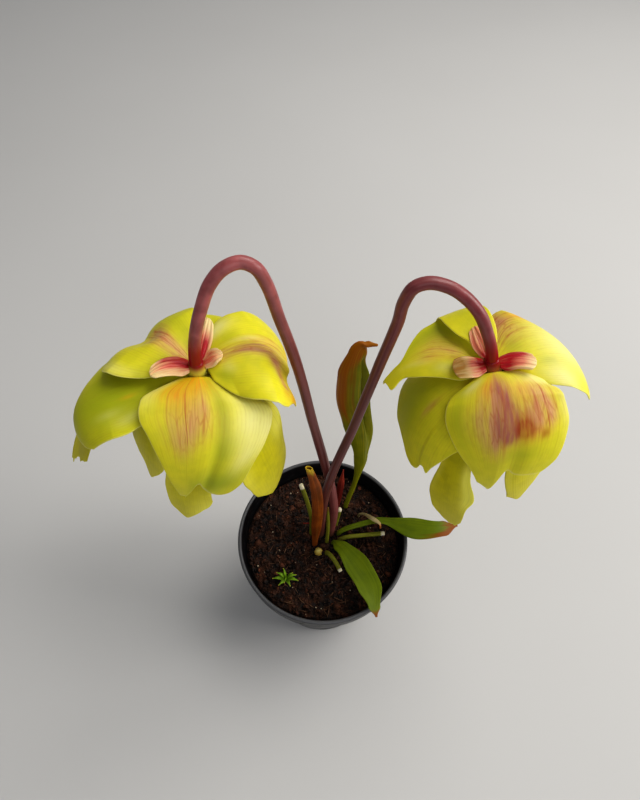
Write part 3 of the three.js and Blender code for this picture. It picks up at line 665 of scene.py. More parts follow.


# Painted light in these tints: the green patches are partly the sepals' own green and partly painted shade in
# folds, hollows and under neighbouring sepals. The pale patches are partly thin cream tissue and partly
# painted highlight where a blade faces the lamps.
TINTS = {
    "left_front": dict(
        ember=[(0.05, -0.15, 0.09, 0.5, 1.0), (0.16, -0.25, 0.1, 0.25, 0.6), (0.12, -0.5, 0.08, 0.2, 0.4)],
        blush=[(0.31, -0.18, 0.15, 0.34, 0.8), (0.28, 0.07, 0.13, 0.08, 0.7), (0.45, -0.38, 0.1, 0.24, 0.55)],
        pale=[(0.33, 0.66, 0.2, 0.24, 0.9), (0.42, 0.95, 0.22, 0.15, 0.7), (0.6, 0.72, 0.12, 0.15, 0.5),
              (0.08, -0.9, 0.12, 0.2, 0.5)],
        green=[(0.25, 0.27, 0.3, 0.1, 0.7), (0.52, 0.4, 0.12, 0.14, 0.6), (0.8, 0.45, 0.13, 0.5, 1.0),
               (0.05, 0.55, 0.07, 0.3, 0.6)]),
    "left_right": dict(
        mauve=[(0.3, -0.04, 0.1, 0.035, 0.7), (0.43, -0.07, 0.08, 0.04, 0.8), (0.52, -0.2, 0.05, 0.07, 0.7),
               (0.58, -0.36, 0.05, 0.08, 0.6), (0.66, -0.55, 0.06, 0.1, 0.5), (0.4, 0.07, 0.16, 0.025, 0.8)],
        blush=[(0.12, 0.02, 0.1, 0.16, 0.7), (0.32, 0, 0.12, 0.1, 1.0), (0.46, 0, 0.08, 0.12, 1.0),
               (0.55, -0.2, 0.06, 0.16, 0.9), (0.62, -0.45, 0.06, 0.2, 0.6), (0.42, 0.2, 0.18, 0.1, 0.35),
               (0.6, 0.1, 0.1, 0.3, 0.5)],
        ember=[(0.62, -0.55, 0.07, 0.3, 0.6), (0.78, -0.7, 0.09, 0.3, 0.9), (0.73, 0.3, 0.05, 0.4, 0.5)],
        pale=[(0.16, 0.78, 0.13, 0.2, 0.9), (0.15, -0.3, 0.05, 0.15, 0.3), (0.36, 0.24, 0.12, 0.05, 0.4)],
        green=[(0.22, 0.4, 0.1, 0.15, 0.3), (0.09, -0.5, 0.07, 0.2, 0.6)]),
    "left_back": dict(pale=[(0.2, 0.9, 0.3, 0.3, 0.5)], green=[(0.5, 0, 0.4, 0.6, 0.3)]),
    "left_back_left": dict(
        blush=[(0.28, 0.02, 0.16, 0.17, 1.0), (0.45, -0.05, 0.1, 0.18, 1.0), (0.08, 0.05, 0.08, 0.25, 0.7)],
        pale=[(0.42, 0.9, 0.2, 0.12, 0.4)], green=[(0.35, -0.5, 0.3, 0.4, 0.45), (0.1, 0.9, 0.12, 0.4, 0.4)]),
    "left_left": dict(
        green=[(0.55, 0.1, 0.5, 0.9, 0.95)], ember=[(0.42, 0.26, 0.05, 0.05, 0.35)],
        pale=[(0.44, 0.72, 0.1, 0.12, 0.3), (0.57, 0.5, 0.1, 0.1, 0.2)]),
    "right_front": dict(
        mauve=[(0.12, 0.0, 0.1, 0.12, 0.7), (0.23, 0.06, 0.1, 0.12, 1.0), (0.34, 0.11, 0.1, 0.14, 1.2),
               (0.45, 0.09, 0.06, 0.13, 1.2), (0.38, -0.08, 0.1, 0.08, 0.8), (0.3, 0.42, 0.08, 0.1, 0.4)],
        rust=[(0.42, 0.34, 0.07, 0.11, 1.3), (0.41, 0.24, 0.07, 0.07, 0.7), (0.38, 0.3, 0.06, 0.08, 0.3),
              (0.47, 0.6, 0.04, 0.06, 0.9)],
        ember=[(0.42, 0.42, 0.08, 0.2, 0.7), (0.13, -0.15, 0.09, 0.22, 0.9), (0.17, 0.36, 0.07, 0.2, 0.6)],
        blush=[(0.3, -0.08, 0.2, 0.22, 1.2), (0.33, 0.45, 0.12, 0.28, 1.0), (0.3, 0.66, 0.12, 0.14, 0.8),
               (0.5, -0.15, 0.1, 0.2, 0.6), (0.33, -0.42, 0.16, 0.2, 0.4), (0.16, 0.5, 0.08, 0.35, 0.4)],
        pale=[(0.3, 0.97, 0.2, 0.1, 0.4), (0.09, -0.6, 0.05, 0.16, 0.7), (0.07, 0.75, 0.07, 0.3, 0.8)],
        green=[(0.6, 0.3, 0.08, 0.28, 0.45), (0.3, -0.78, 0.2, 0.15, 0.4)]),
    "right_right": dict(
        blush=[(0.24, 0.7, 0.16, 0.35, 1.2)], mauve=[(0.26, 0.85, 0.1, 0.15, 0.4)],
        ember=[(0.5, 0.78, 0.14, 0.14, 0.8)],
        pale=[(0.6, 0.0, 0.22, 0.6, 0.9), (0.4, -0.8, 0.14, 0.35, 0.8)],
        green=[(0.38, -0.35, 0.08, 0.12, 0.5), (0.2, 0.25, 0.1, 0.18, 0.5)]),
    "right_back": dict(green=[(0.3, 0, 0.3, 0.5, 0.3)]),
    "right_left": dict(
        blush=[(0.3, -0.15, 0.12, 0.2, 0.45), (0.5, -0.2, 0.14, 0.3, 0.45)],
        ember=[(0.5, 0.1, 0.12, 0.3, 0.25)],
        rust=[(0.26, 0.05, 0.1, 0.12, 0.3)],
        pale=[(0.6, 0.2, 0.15, 0.2, 0.3), (0.34, 0.5, 0.1, 0.25, 0.35)],
        green=[(0.45, -0.65, 0.3, 0.35, 1.0)]),
    "right_front_left": dict(
        blush=[(0.38, 0.05, 0.07, 0.06, 0.5)], rust=[(0.36, 0.08, 0.08, 0.05, 0.25)],
        green=[(0.4, -0.4, 0.25, 0.5, 0.6), (0.6, -0.3, 0.2, 0.5, 0.4)]),
}
TINT_NAMES = ["blush", "mauve", "ember", "rust", "pale", "green"]
print("tinted sepals:", len(TINTS))

# %% [markdown]
# Waves and creases are height fields along the same (u, v), added along the blade's own normal, and alike on
# both faces, as in a real leaf. The waves stay within half a millimetre, outwards on the outer sepals and
# inwards on the inner ones, away from each other. The creases of single sepals are deeper.

# %% Build the sepals
WAVE = {"outer": 0.30, "half": 0.12, "inner": -0.30}
SEPAL_GRID = (120, 110)
SEPAL_SEED = 1
RELIEF = {
    "left_front": lambda u, v: -1.0 * bump(v, 0.27, 0.10) * eased(u, 0.1, 0.35) * eased(u, 0.97, 0.8),
    "left_right": lambda u, v: (0.7 * bump(v, -0.03, 0.10) * eased(u, 0.15, 0.4)
                                + 1.3 * bump(v, 0.7, 0.4) * bump(u, 0.62, 0.25)
                                - 2.2 * bump(v, -0.35, 0.3) * bump(u, 0.66, 0.16)),
    "left_back_left": lambda u, v: -3.5 * bump(v, 0.1, 0.3) * eased(u, 0.28, 0.5),
    "right_front": lambda u, v: -0.8 * bump(v, 0.2, 0.14) * eased(u, 0.4, 0.7),
    "right_front_left": lambda u, v: 0.8 * eased(v, 0.36, 0.44) * eased(u, 0.3, 0.6),
}


def sepal_relief(u, v, layer, seed):
    """Edge waves, a sine along the blade times the fourth power of v, plus broad swells from noise."""
    ripple = 0.5 + 0.5 * np.sin(2 * np.pi * (3.2 * u + 0.13 * seed) + 1.5 * np.sign(v))
    swell = 0.5 + 0.5 * soft_noise(np.stack([2.5 * u, 1.6 * v + 2, np.full_like(u, seed + 0.5)], -1), seed)
    return WAVE[layer] * (ripple * np.abs(v) ** 4 * eased(u, 0.25, 0.6) + 0.6 * swell * eased(u, 0, 0.3))


def build_sepals(material):
    """All ten sepals, each with its tints as fields."""
    s, v = blade_grid(*SEPAL_GRID)
    for flower, place, shape, seed in blades(SEPALS, SEPAL_SEED):
        key = f"{flower['name']}_{place}"
        u, middle = plate(s, v, shape)
        relief = sepal_relief(u, v, shape["layer"], seed)
        if key in RELIEF:
            relief = relief + RELIEF[key](u, v)
        tints = {tint: patches(u, v, *TINTS[key].get(tint, [])) for tint in TINT_NAMES}
        shell = blade(s, v, middle, SEPAL_THICKNESS, relief, grain=blade_grain(u, v, 3.1 * seed),
                      edge=np.maximum(np.abs(v), s), along=u, **tints)
        hang(flower, shell, material, "sepal", f"sepal_{place}_blade", f"sepal_{place}")


# %% [markdown]
# ## Sepals: the finish
# A sepal is a waxy skin over thin wet tissue, so light passes into it and a little way through. The
# Principled shader's subsurface part does that; the veins darken the tints and stand up very slightly.

# %% The sepal material
LIME, GREEN_AND_SHADE, CREAM_AND_HIGHLIGHT = rgb(0.73, 0.665, 0.024), rgb(0.33, 0.38, 0.010), rgb(0.84, 0.80, 0.34)
ORANGE, RUST = rgb(0.80, 0.36, 0.010), rgb(0.34, 0.050, 0.005)
PINK, MAUVE, VEIN_RED = rgb(0.66, 0.36, 0.15), rgb(0.42, 0.14, 0.10), rgb(0.44, 0.085, 0.03)
FAINT_VEIN = rgb(0.42, 0.24, 0.02)


def sepal_material():
    """Yellow, tinted by the blade's own fields, with veins that follow its grain. Part of the green is
    painted shade and part of the cream is painted highlight, as is the cream line along the edge.
    """
    material, tree, shader = new_material("sepal")
    grain = field(tree, "grain", "Vector")
    skin = use_group(tree, SKIN, Scale=2600.0)
    wide = use_group(tree, VEINS, Grain=grain, Across=6.6, Along=4.0, Width=0.17)
    thin = use_group(tree, VEINS, Grain=grain, Across=19.0, Along=9.0, Width=0.3)
    blush, ember = field(tree, "blush"), field(tree, "ember")
    mauve = streaked(tree, field(tree, "mauve"), thin["Streaks"], 0.5, 0.6, clamp=False)
    reds = times_plus(tree, blush, 1.5, times_plus(tree, ember, 0.25, 0.02), clamp=True)
    # Painted highlight: this mask puts a cream line along the blade's edge and end.
    rim = remapped(tree, field(tree, "edge"), 0.965, 0.995)
    colour = layered(tree, LIME,
                     # Painted shade: where the green field lies in folds and hollows, the yellow turns olive
                     # as shade would.
                     (times(tree, field(tree, "green"), 0.9), GREEN_AND_SHADE),
                     (times(tree, skin["Patches"], 0.14), GREEN_AND_SHADE),
                     # Painted highlight, with some real cream: the pale field lightens the parts that face
                     # the lamps.
                     (times(tree, field(tree, "pale"), 0.85), CREAM_AND_HIGHLIGHT),
                     (streaked(tree, ember, thin["Streaks"], 0.5, 0.6), ORANGE),
                     (streaked(tree, blush, wide["Streaks"], 0.6, 0.5), PINK),
                     (times(tree, mauve, 0.95, clamp=True), MAUVE),
                     (streaked(tree, field(tree, "rust"), thin["Streaks"], 0.45, 0.55), RUST),
                     (times(tree, wide["Lines"], reds), VEIN_RED),
                     (times(tree, times(tree, wide["Net"], blush), 0.38), VEIN_RED),
                     (times(tree, thin["Lines"], times_plus(tree, blush, 0.3, 0.2)), FAINT_VEIN),
                     (times(tree, rim, 0.35), CREAM_AND_HIGHLIGHT))
    lines = maths(tree, "MAXIMUM", wide["Lines"], times(tree, thin["Lines"], 0.4))
    height = times_plus(tree, lines, 0.5, times(tree, skin["Height"], 0.4))
    set_shader(tree, shader, Base_Color=colour, Normal=bumped(tree, height, 0.3, 0.0002),
               Roughness=remapped(tree, skin["Height"], 0.3, 0.7, 0.38, 0.5), Subsurface_Weight=0.15,
               Subsurface_Scale=0.001, Subsurface_Radius=(1.0, 0.8, 0.1), Specular_IOR_Level=0.25, IOR=1.42)
    return material


build_sepals(sepal_material())

# %% [markdown]
# ## Petals
# Under the sepals hang five straps, narrow at the root and blunt at the end. They are thinner and softer
# than the sepals, so their edges are nibbled and ripple more. The same surface formula serves, with the
# outline multiplied by a small uneven wave. Those that hang out of sight have both edges alike.

# %% The sizes of the petals
def strap(azimuth, tip, left, right, end, leaves=(5, 20), arrives=(92, 34)):
    """The measures of one petal: as for a sepal, in the innermost layer."""
    return sepal(azimuth, "petal", tip, leaves, arrives, (0.8, 0.8), left, right, end)


def plain_strap(azimuth, width):
    """A petal that hangs out of sight: narrow at the root, even in width and blunt."""
    edge = [(0, 0.14 * width), (0.35, 0.75 * width), (0.7, width), (1, 0.7 * width)]
    return strap(azimuth, [28, -62], edge, edge, EVEN_END)


PETALS = {
    "left": dict(
        front_left=strap(-146, [26, -58], [(0, 1.4), (0.35, 7), (0.7, 9), (1, 7)],
                         [(0, 1.4), (0.35, 11), (0.65, 16), (1, 13)],
                         [(-1, 0.6), (-0.6, 0.68), (0, 0.72), (0.3, 0.78), (0.47, 0.9), (0.7, 0.8),
                          (1, 0.62)]),
        front=strap(-90, [30, -68], [(0, 1.4), (0.35, 7), (0.59, 9.8), (0.78, 9.2), (1, 6.5)],
                    [(0, 1.4), (0.35, 7), (0.59, 8.5), (0.69, 8.2), (0.82, 9.4), (1, 7)],
                    [(-1, 0.86), (-0.6, 0.95), (-0.35, 1), (0, 0.965), (0.4, 0.9), (0.9, 0.82), (1, 0.78)]),
        right=strap(-22, [37.4, -65], [(0, 1.6), (0.3, 12), (0.57, 19.5), (0.72, 16.5), (1, 9)],
                    [(0, 1.6), (0.3, 11), (0.5, 14.8), (0.62, 12), (0.86, 11.5), (1, 8)],
                    [(-1, 0.8), (-0.5, 0.97), (-0.2, 1), (0.3, 0.96), (0.8, 0.9), (1, 0.84)]),
        back=plain_strap(50, 13),
        back_left=strap(160, [51.5, -49, 207], [(0, 1.3), (0.35, 6), (0.7, 8), (1, 7)],
                        [(0, 1.3), (0.35, 8), (0.7, 15), (1, 18)],
                        [(-1, 1), (-0.6, 0.99), (0, 0.94), (0.5, 0.87), (1, 0.79)], (34, 20), (64, 22))),
    "right": dict(
        front_left=strap(-124, [34.5, -78], [(0, 1.4), (0.3, 5), (0.5, 7), (0.62, 9.3), (0.7, 10.4),
                                             (0.86, 9.2), (1, 6)],
                         [(0, 1.4), (0.3, 5), (0.52, 6.9), (0.67, 9.8), (0.73, 8), (0.86, 6.3), (1, 4.5)],
                         [(-1, 0.9), (-0.5, 0.97), (0, 1), (0.5, 1), (1, 0.93)]),
        front=strap(-61, [28, -62], [(0, 1.4), (0.3, 7), (0.58, 11.7), (0.85, 10.7), (1, 9)],
                    [(0, 1.4), (0.35, 8), (0.7, 10), (1, 8)],
                    [(-1, 0.88), (-0.5, 0.98), (-0.2, 0.93), (0.05, 0.87), (0.5, 0.77), (1, 0.68)]),
        right=plain_strap(12, 13), back=plain_strap(86, 13), left=plain_strap(162, 13)),
}

# Where a petal pales to cream, and where painted light brightens a side that faces the lamps, as patches
# at (u, v).
PALE_AND_LIT_PARTS = {
    "right_front_left": [(0.52, 0.8, 0.1, 0.3, 1.2), (0.66, 0.85, 0.1, 0.35, 1.3)],
    "right_front": [(0.7, 0.7, 0.2, 0.4, 0.6)],
    "left_right": [(0.47, 0.7, 0.09, 0.45, 1.3)],
    "left_front": [(0.9, 0.7, 0.12, 0.5, 0.7)],
}

# %% Build the petals
def nibbled(s, v, seed):
    """The grid with its edges drawn in a little, by an uneven wave that grows towards the end."""
    side = soft_noise(np.stack([11 * s, 1.5 * np.sign(v) + 3, np.full_like(s, 0.3)], -1), seed)
    end = soft_noise(np.stack([5 * v + 9, np.full_like(s, 2.5), np.full_like(s, 0.6)], -1), seed)
    return s * (1 - 0.02 * (1 + end) * s**4), v * (1 - 0.03 * (1 + side) * eased(s, 0.35, 0.6))


PETAL_GRID = (100, 56)
PETAL_SEED = 21


def build_petals(material):
    """All ten petals, nibbled, swollen and rippled."""
    s, v = blade_grid(*PETAL_GRID)
    for flower, place, shape, seed in blades(PETALS, PETAL_SEED):
        u, middle = plate(*nibbled(s, v, seed), shape)
        swell = soft_noise(np.stack([3.5 * u, 1.3 * v + 2, np.full_like(u, 0.5)], -1), seed)
        relief = 0.45 * swell * eased(u, 0.2, 0.6) + 0.35 * v**2 * np.sin(9 * u + seed)
        pale = patches(u, v, *PALE_AND_LIT_PARTS.get(f"{flower['name']}_{place}", []))
        shell = blade(s, v, middle, PETAL_THICKNESS, relief, grain=blade_grain(u, v, 2.7 * seed),
                      edge=np.maximum(np.abs(v), s), along=u, pale=pale)
        hang(flower, shell, material, "petal", f"petal_{place}_blade", f"petal_{place}")


def petal_material():
    """Softer and greener than the sepals, paling to cream along its thin edges and end, with painted light
    on the sides that face the lamps.
    """
    material, tree, shader = new_material("petal")
    grain = field(tree, "grain", "Vector")
    skin = use_group(tree, SKIN, Scale=2400.0)
    veins = use_group(tree, VEINS, Grain=grain, Across=11.0, Along=4.0, Width=0.3)
    edge = remapped(tree, field(tree, "edge"), 0.5, 1.0)
    root = remapped(tree, field(tree, "along"), 0.15, 0.5, 0.5, 0.0)
    colour = layered(tree, rgb(0.58, 0.52, 0.006),
                     (times(tree, skin["Patches"], 0.5), rgb(0.42, 0.38, 0.004)),
                     (root, rgb(0.34, 0.33, 0.01)),
                     (times(tree, edge, 0.5), rgb(0.80, 0.72, 0.10)),
                     # Painted light, partly real cream: the pale field brightens the petals' lit sides.
                     (field(tree, "pale"), rgb(0.93, 0.86, 0.12)),
                     (times(tree, veins["Lines"], 0.22), rgb(0.30, 0.24, 0.006)))
    height = times_plus(tree, veins["Lines"], 0.6, times(tree, skin["Height"], 0.5))
    set_shader(tree, shader, Base_Color=colour, Normal=bumped(tree, height, 0.3, 0.0002),
               Roughness=remapped(tree, skin["Height"], 0.3, 0.7, 0.42, 0.56), Subsurface_Weight=0.2,
               Subsurface_Scale=0.001, Subsurface_Radius=(1.0, 0.8, 0.1), Specular_IOR_Level=0.15, IOR=1.4)
    return material


build_petals(petal_material())

# %% [markdown]
# ## Bracts
# Three small scales sit round the end of each stem, on top of the sepals. Each is a little boat: crimson at
# the root, pink with red veins, then cream, and tan where it has begun to dry. As with the sepals, soft
# patches at (u, v) say where each tint lies on each scale.

# %% Build the bracts
def bract(azimuth, tip, left, right, end, **tints):
    """The measures of a bract: as for a sepal, but it leaves the stem's end slightly upwards, levels out and
    is bent like a boat."""
    leaves, arrives = (-15 - 3 * tip[1], 5), (30 - 6 * tip[1], 4)
    return dict(sepal(azimuth, "bract", tip, leaves, arrives, (2.2, 2.2), left, right, end),
                reach=RECEPTACLE["radius"] - 1.2, least_reach=3, most_bend=0.16, tints=tints)


BLUNT_END = [(-1, 0.88), (-0.6, 0.97), (0, 1), (0.6, 0.98), (1, 0.9)]
BRACTS = {
    "left": dict(
        left=bract(193, [16.5, 3.6, 206], [(0, 2.8), (0.12, 4), (0.45, 4.2), (0.7, 3.6), (1, 2.2)],
                   [(0, 2.8), (0.12, 4), (0.45, 4.3), (0.7, 3.8), (1, 2.4)], BLUNT_END,
                   crimson=[(0, -0.2, 0.42, 0.9, 1.3), (0.45, -0.7, 0.3, 0.5, 1.2)],
                   pink=[(0.5, 0, 0.35, 0.6, 1.2)],
                   tan=[(1, 0, 0.15, 0.6, 0.3)]),
        back=bract(84, [18, 7], [(0, 2.4), (0.3, 3.4), (0.6, 3.4), (1, 2)],
                   [(0, 2.4), (0.3, 3), (0.6, 3), (1, 1.8)],
                   BLUNT_END, crimson=[(0.05, 0, 0.34, 0.9, 1.3), (0.35, -0.3, 0.2, 0.4, 0.8)],
                   pink=[(0.45, 0, 0.22, 0.7, 1.2)]),
        right=bract(25, [9.5, 5], [(0, 2.4), (0.4, 3.4), (0.8, 2.6), (1, 1.8)],
                    [(0, 2.4), (0.4, 4), (0.8, 3.2), (1, 2)],
                    BLUNT_END, crimson=[(0, 0, 0.2, 0.7, 0.9)], pink=[(0.4, 0, 0.4, 0.8, 1.2)],
                    tan=[(0.6, 0.3, 0.4, 0.6, 0.3)])),
    "right": dict(
        left=bract(188, [14, 2.8, 188], [(0, 3), (0.3, 4.8), (0.65, 5.4), (1, 4.2)],
                   [(0, 3), (0.3, 5), (0.65, 5), (1, 4)],
                   BLUNT_END, crimson=[(0.1, 0, 0.2, 1.4, 1.4)], pink=[(0.36, 0.2, 0.2, 0.9, 1.3)],
                   tan=[(0.85, -0.2, 0.26, 1.2, 1.7)]),
        back=bract(100, [15.5, 5, 104], [(0, 2.5), (0.34, 4), (0.77, 3.6), (1, 2.4)],
                   [(0, 2.5), (0.34, 4.6), (0.77, 4), (1, 2.6)],
                   BLUNT_END, crimson=[(0.08, 0, 0.16, 1.2, 1.2), (0.5, -0.8, 0.4, 0.25, 0.8)],
                   pink=[(0.5, 0, 0.6, 1.2, 1.5)], tan=[(0.8, 0.3, 0.2, 0.4, 0.4)]),
        right=bract(-4, [15, 2.2, -9], [(0, 2.5), (0.15, 3.8), (0.5, 3.8), (0.9, 3.5), (1, 3.2)],
                    [(0, 2.5), (0.15, 3.4), (0.5, 3.8), (0.9, 3.3), (1, 3)], BLUNT_END,
                    crimson=[(0.1, 0, 0.32, 1.4, 1.4), (0.5, 0.7, 0.35, 0.45, 1.3)],
                    pink=[(0.5, -0.2, 0.28, 0.6, 1.4)])),
}


BRACT_GRID = (60, 44)


def build_bracts(material):
    """All six bracts, each with a keel below, fine ribs at its root, and its tints as fields."""
    s, v = blade_grid(*BRACT_GRID)
    for flower, place, shape, _ in blades(BRACTS):
        u, middle = plate(s, v, shape)
        keel = 0.25 * bump(v, 0, 0.35) * eased(u, 0.1, 0.5) + 0.12 * np.sin(14 * v) * eased(u, 0, 0.3)
        tints = {tint: patches(u, v, *shape["tints"].get(tint, [])) for tint in ("crimson", "pink", "tan")}
        shell = blade(s, v, middle, BRACT_THICKNESS, keel, grain=blade_grain(u, v, shape["azimuth"]), along=u,
                      **tints)
        hang(flower, shell, material, "bract", f"bract_{place}_scale", f"bract_{place}")


def bract_material():
    """Cream, turning pink with red veins, tan and crimson where the scale's own fields say."""
    material, tree, shader = new_material("bract")
    grain = field(tree, "grain", "Vector")
    skin = use_group(tree, SKIN, Scale=3200.0)
    veins = use_group(tree, VEINS, Grain=grain, Across=5.0, Along=2.0, Width=0.3)
    pink, crimson = field(tree, "pink"), field(tree, "crimson")
    stripes = times_plus(tree, veins["Streaks"], 0.7, 0.5, clamp=True)
    red_lines = times(tree, veins["Lines"], times_plus(tree, pink, 0.75, 0.05))
    colour = layered(tree, rgb(0.84, 0.66, 0.30),
                     (times(tree, pink, stripes), rgb(0.78, 0.21, 0.12)),
                     (times(tree, field(tree, "tan"), stripes), rgb(0.50, 0.24, 0.04)),
                     (red_lines, rgb(0.52, 0.03, 0.02)),
                     (streaked(tree, crimson, veins["Streaks"], 0.5, 0.8), rgb(0.46, 0.008, 0.014)))
    height = times_plus(tree, veins["Lines"], 0.8, times(tree, skin["Height"], 0.4))
    set_shader(tree, shader, Base_Color=colour, Normal=bumped(tree, height, 0.5, 0.0003), Roughness=0.34,
               Subsurface_Weight=0.15, Subsurface_Scale=0.0008, Subsurface_Radius=(1.0, 0.4, 0.2), IOR=1.45)
    return material


build_bracts(bract_material())

# %% [markdown]
# ## Pistil and stamens
# Turned upwards, the flower shows what its sepals hide: a warty green ovary, a ring of stamens hugging it,
# and a style that opens below into an umbrella of five lobes. They are rings round the flower's axis: each
# row of the grid has its own radius and height, and the umbrella's radius swells at its five lobes.

# %% Build the pistils
OVARY = dict(radius=6.4, height=-14.4, seed=41)
UMBRELLA = dict(radius=19, lobe=3, centre=-42, rise=7, thickness=0.9)
PISTIL_ROWS, OVARY_SIDES, UMBRELLA_SIDES, STYLE_ROWS, STYLE_SIDES = 40, 64, 160, 24, 24


def rings_about_axis(radius, height, sides):
    """Rings round the Z axis. Radius and height are arrays, one row each or one value for each point."""
    a = around(sides)
    radius, height = (np.broadcast_to(np.asarray(x, float).reshape(len(x), -1), (len(x), sides))
                      for x in (radius, height))
    return np.stack([radius * np.cos(a), radius * np.sin(a), height], -1)


def ovary_shell():
    """A sphere with a pebbled skin."""
    turn = np.linspace(np.pi, 0, PISTIL_ROWS)[1:-1]
    ball = rings_about_axis(OVARY["radius"] * np.sin(turn), OVARY["radius"] * np.cos(turn), OVARY_SIDES)
    pebbles = 1 + 0.035 * soft_noise(ball * 0.9 + 20, OVARY["seed"])
    ball = ball * pebbles[..., None] + [0, 0, OVARY["height"]]
    return closed_tube(ball, grain=ball, along=np.zeros(ball.shape[:2]))


def umbrella_shell():
    """Height rises as the square of the reach. The lower face runs out to the edge, the upper one back in."""
    t = np.concatenate([np.linspace(0.02, 1, PISTIL_ROWS), np.linspace(1, 0.02, PISTIL_ROWS)])[:, None]
    upper = np.repeat([0, 1], PISTIL_ROWS)[:, None]
    a = around(UMBRELLA_SIDES)
    lobe = UMBRELLA["lobe"] * np.abs(np.cos(2.5 * a))
    reach = t * (UMBRELLA["radius"] + lobe - 1.3 * bump(np.sin(2.5 * a), 0, 0.12))
    rib = 0.35 * bump(np.sin(2.5 * a), 0, 0.1) * eased(t, 0.1, 0.4)
    thick = UMBRELLA["thickness"] * np.sqrt(np.clip(1.0001 - t**30, 0, 1))
    level = UMBRELLA["centre"] + UMBRELLA["rise"] * t**2 + rib + upper * thick
    rings = rings_about_axis(reach, level, UMBRELLA_SIDES)
    return closed_tube(rings, grain=rings, along=np.broadcast_to(t, rings.shape[:2]))


def style_shell():
    """A rod from the umbrella up to the ovary."""
    rod = route_through([[0, 0, UMBRELLA["centre"]], [0, 0, -28], [0, 0, OVARY["height"]]])
    size = sizes((0, 2.4), (0.25, 1.5), (1, 1.6))
    return tube_along(rod, size, size, [1, 0, 0], STYLE_ROWS, STYLE_SIDES)


def pistil_material():
    """Pale waxy green, yellower and thinner towards the umbrella's edge."""
    material, tree, shader = new_material("pistil")
    skin = use_group(tree, SKIN, Scale=1500.0)
    colour = layered(tree, rgb(0.40, 0.46, 0.07),
                     (skin["Patches"], rgb(0.50, 0.52, 0.10)),
                     (remapped(tree, field(tree, "along"), 0.4, 1.0, 0.0, 0.7), rgb(0.66, 0.62, 0.10)))
    set_shader(tree, shader, Base_Color=colour, Normal=bumped(tree, skin["Height"], 0.5, 0.0004),
               Roughness=0.42, Subsurface_Weight=0.25, Subsurface_Scale=0.001,
               Subsurface_Radius=(0.8, 0.9, 0.2))
    return material


pistil_skin = pistil_material()
pistil = joined([ovary_shell(), umbrella_shell(), style_shell()])
for flower in FLOWERS:
    hang(flower, pistil, pistil_skin, "pistil", "pistil_body", "pistil")

# %% Build the stamens
STAMENS = 42
STAMEN_SEED = 60


def spoke(a, reach, height):
    """A point at an angle round the Z axis, a reach from it and a height."""
    return [reach * np.cos(a), reach * np.sin(a), height]


def stamen_shell(seed):
    """Each stamen is a thin bent thread from the flower's base with a bean-shaped anther at its end."""
    rng = np.random.default_rng(seed)
    thin, lump = sizes((0, 0.3), (1, 0.22)), sizes((0, 0.35), (0.3, 0.95), (0.7, 0.9), (1, 0.3))
    shells = []
    for k in range(STAMENS):
        a = 2 * np.pi * (k + 0.3 * rng.uniform()) / STAMENS
        low = -12.4 - 1.6 * (k % 3 == 1) + rng.uniform(-0.4, 0.4)
        reach = 7.5 + 0.8 * (k % 3 == 0)
        thread = [spoke(a, 2.6, -7.3), spoke(a, 5.6, -8.0), spoke(a, reach, low + 1.6)]
        anther = [spoke(a, reach, low + 1.7), spoke(a, reach + 0.2, low), spoke(a, reach, low - 1.5)]
        shells.append(tube_along(route_through(thread, 8), thin, thin, [0, 0, 1], 8, 6))
        shells.append(tube_along(route_through(anther, 8), lump, lump, [-np.sin(a), np.cos(a), 0], 9, 8))
    return joined(shells)


def powdery_material(name, noise_size, low, high, dark, pale, strength, roughness):
    """Two colours mixed by one fine noise, which also roughens the surface. noise_size is (scale, detail)."""
    material, tree, shader = new_material(name)
    grains = noise(tree, on_piece(tree), *noise_size)
    colour = mixed(tree, remapped(tree, grains, low, high), dark, pale)
    set_shader(tree, shader, Base_Color=colour, Normal=bumped(tree, grains, strength, 0.0003),
               Roughness=roughness)
    return material


# Powdery yellow, with grains of pollen that catch the light.
POLLEN, POLLEN_PALE = rgb(0.52, 0.42, 0.05), rgb(0.80, 0.70, 0.22)
stamen_skin = powdery_material("stamen", (5200.0, 2.0), 0.4, 0.65, POLLEN, POLLEN_PALE, 0.6, 0.8)
for seed, flower in enumerate(FLOWERS, STAMEN_SEED):
    hang(flower, stamen_shell(seed), stamen_skin, "stamen", "stamen_ring", "stamens")

# %% [markdown]
# ## Flower stems
# A leafless stem carries each flower: smooth, round, mauve, a little thicker at the foot and at the bend.
# It is a circle carried along the route, whose radius swells and wanders slightly, and it ends in the knob
# that everything in the flower grows from. It is dull below, redder on the arch and crimson at the flower.
# The arch is also lighter, partly painted light where its top faces the lamps.

# %% Build the stems
BROWNNESS = {"left": 0.0, "right": 1.0}
STEM_SEED, STEM_ROWS, STEM_SIDES = 70, 220, 32
KNOB_ROWS, KNOB_SIDES = 30, 40
STEM_FEET = {"left": (4.2, 5.2), "right": (-1.2, 4.6)}
STEM_POINTS = {
    "left": [[5.4, 7.6, 98], [2.9, 11.6, 120], [-1.1, 14.3, 142.5], [-5.5, 16.7, 167], [-9.5, 19.5, 191],
             [-12.8, 21.4, 207.5], [-17, 23.2, 224], [-20.2, 23.4, 239.5], [-23.2, 22.8, 247],
             [-27.5, 22.5, 249.3], [-32.5, 20.7, 248.3], [-37.1, 18.9, 243.4], [-41.1, 16.7, 234.7],
             [-44.2, 15, 225.2], [-46, 14.2, 216], [-46.8, 14, 207]],
    "right": [[-0.2, 5.8, 106], [1.9, 7.4, 125.5], [5, 10.2, 141], [11.1, 14.8, 164], [16, 19, 185],
              [21, 22.8, 207.5], [24, 24.7, 221], [24.8, 24.8, 231], [27.3, 24.6, 238], [32, 24.9, 239.7],
              [38.5, 24.1, 238.6], [44.5, 23.1, 234.8], [50, 21.3, 229.2], [54.5, 19.8, 221],
              [57.6, 18.6, 213.5], [59.5, 18, 206]],
}


def circle(size, a):
    """A point on a circle whose radius is size."""
    return size * np.cos(a), size * np.sin(a)


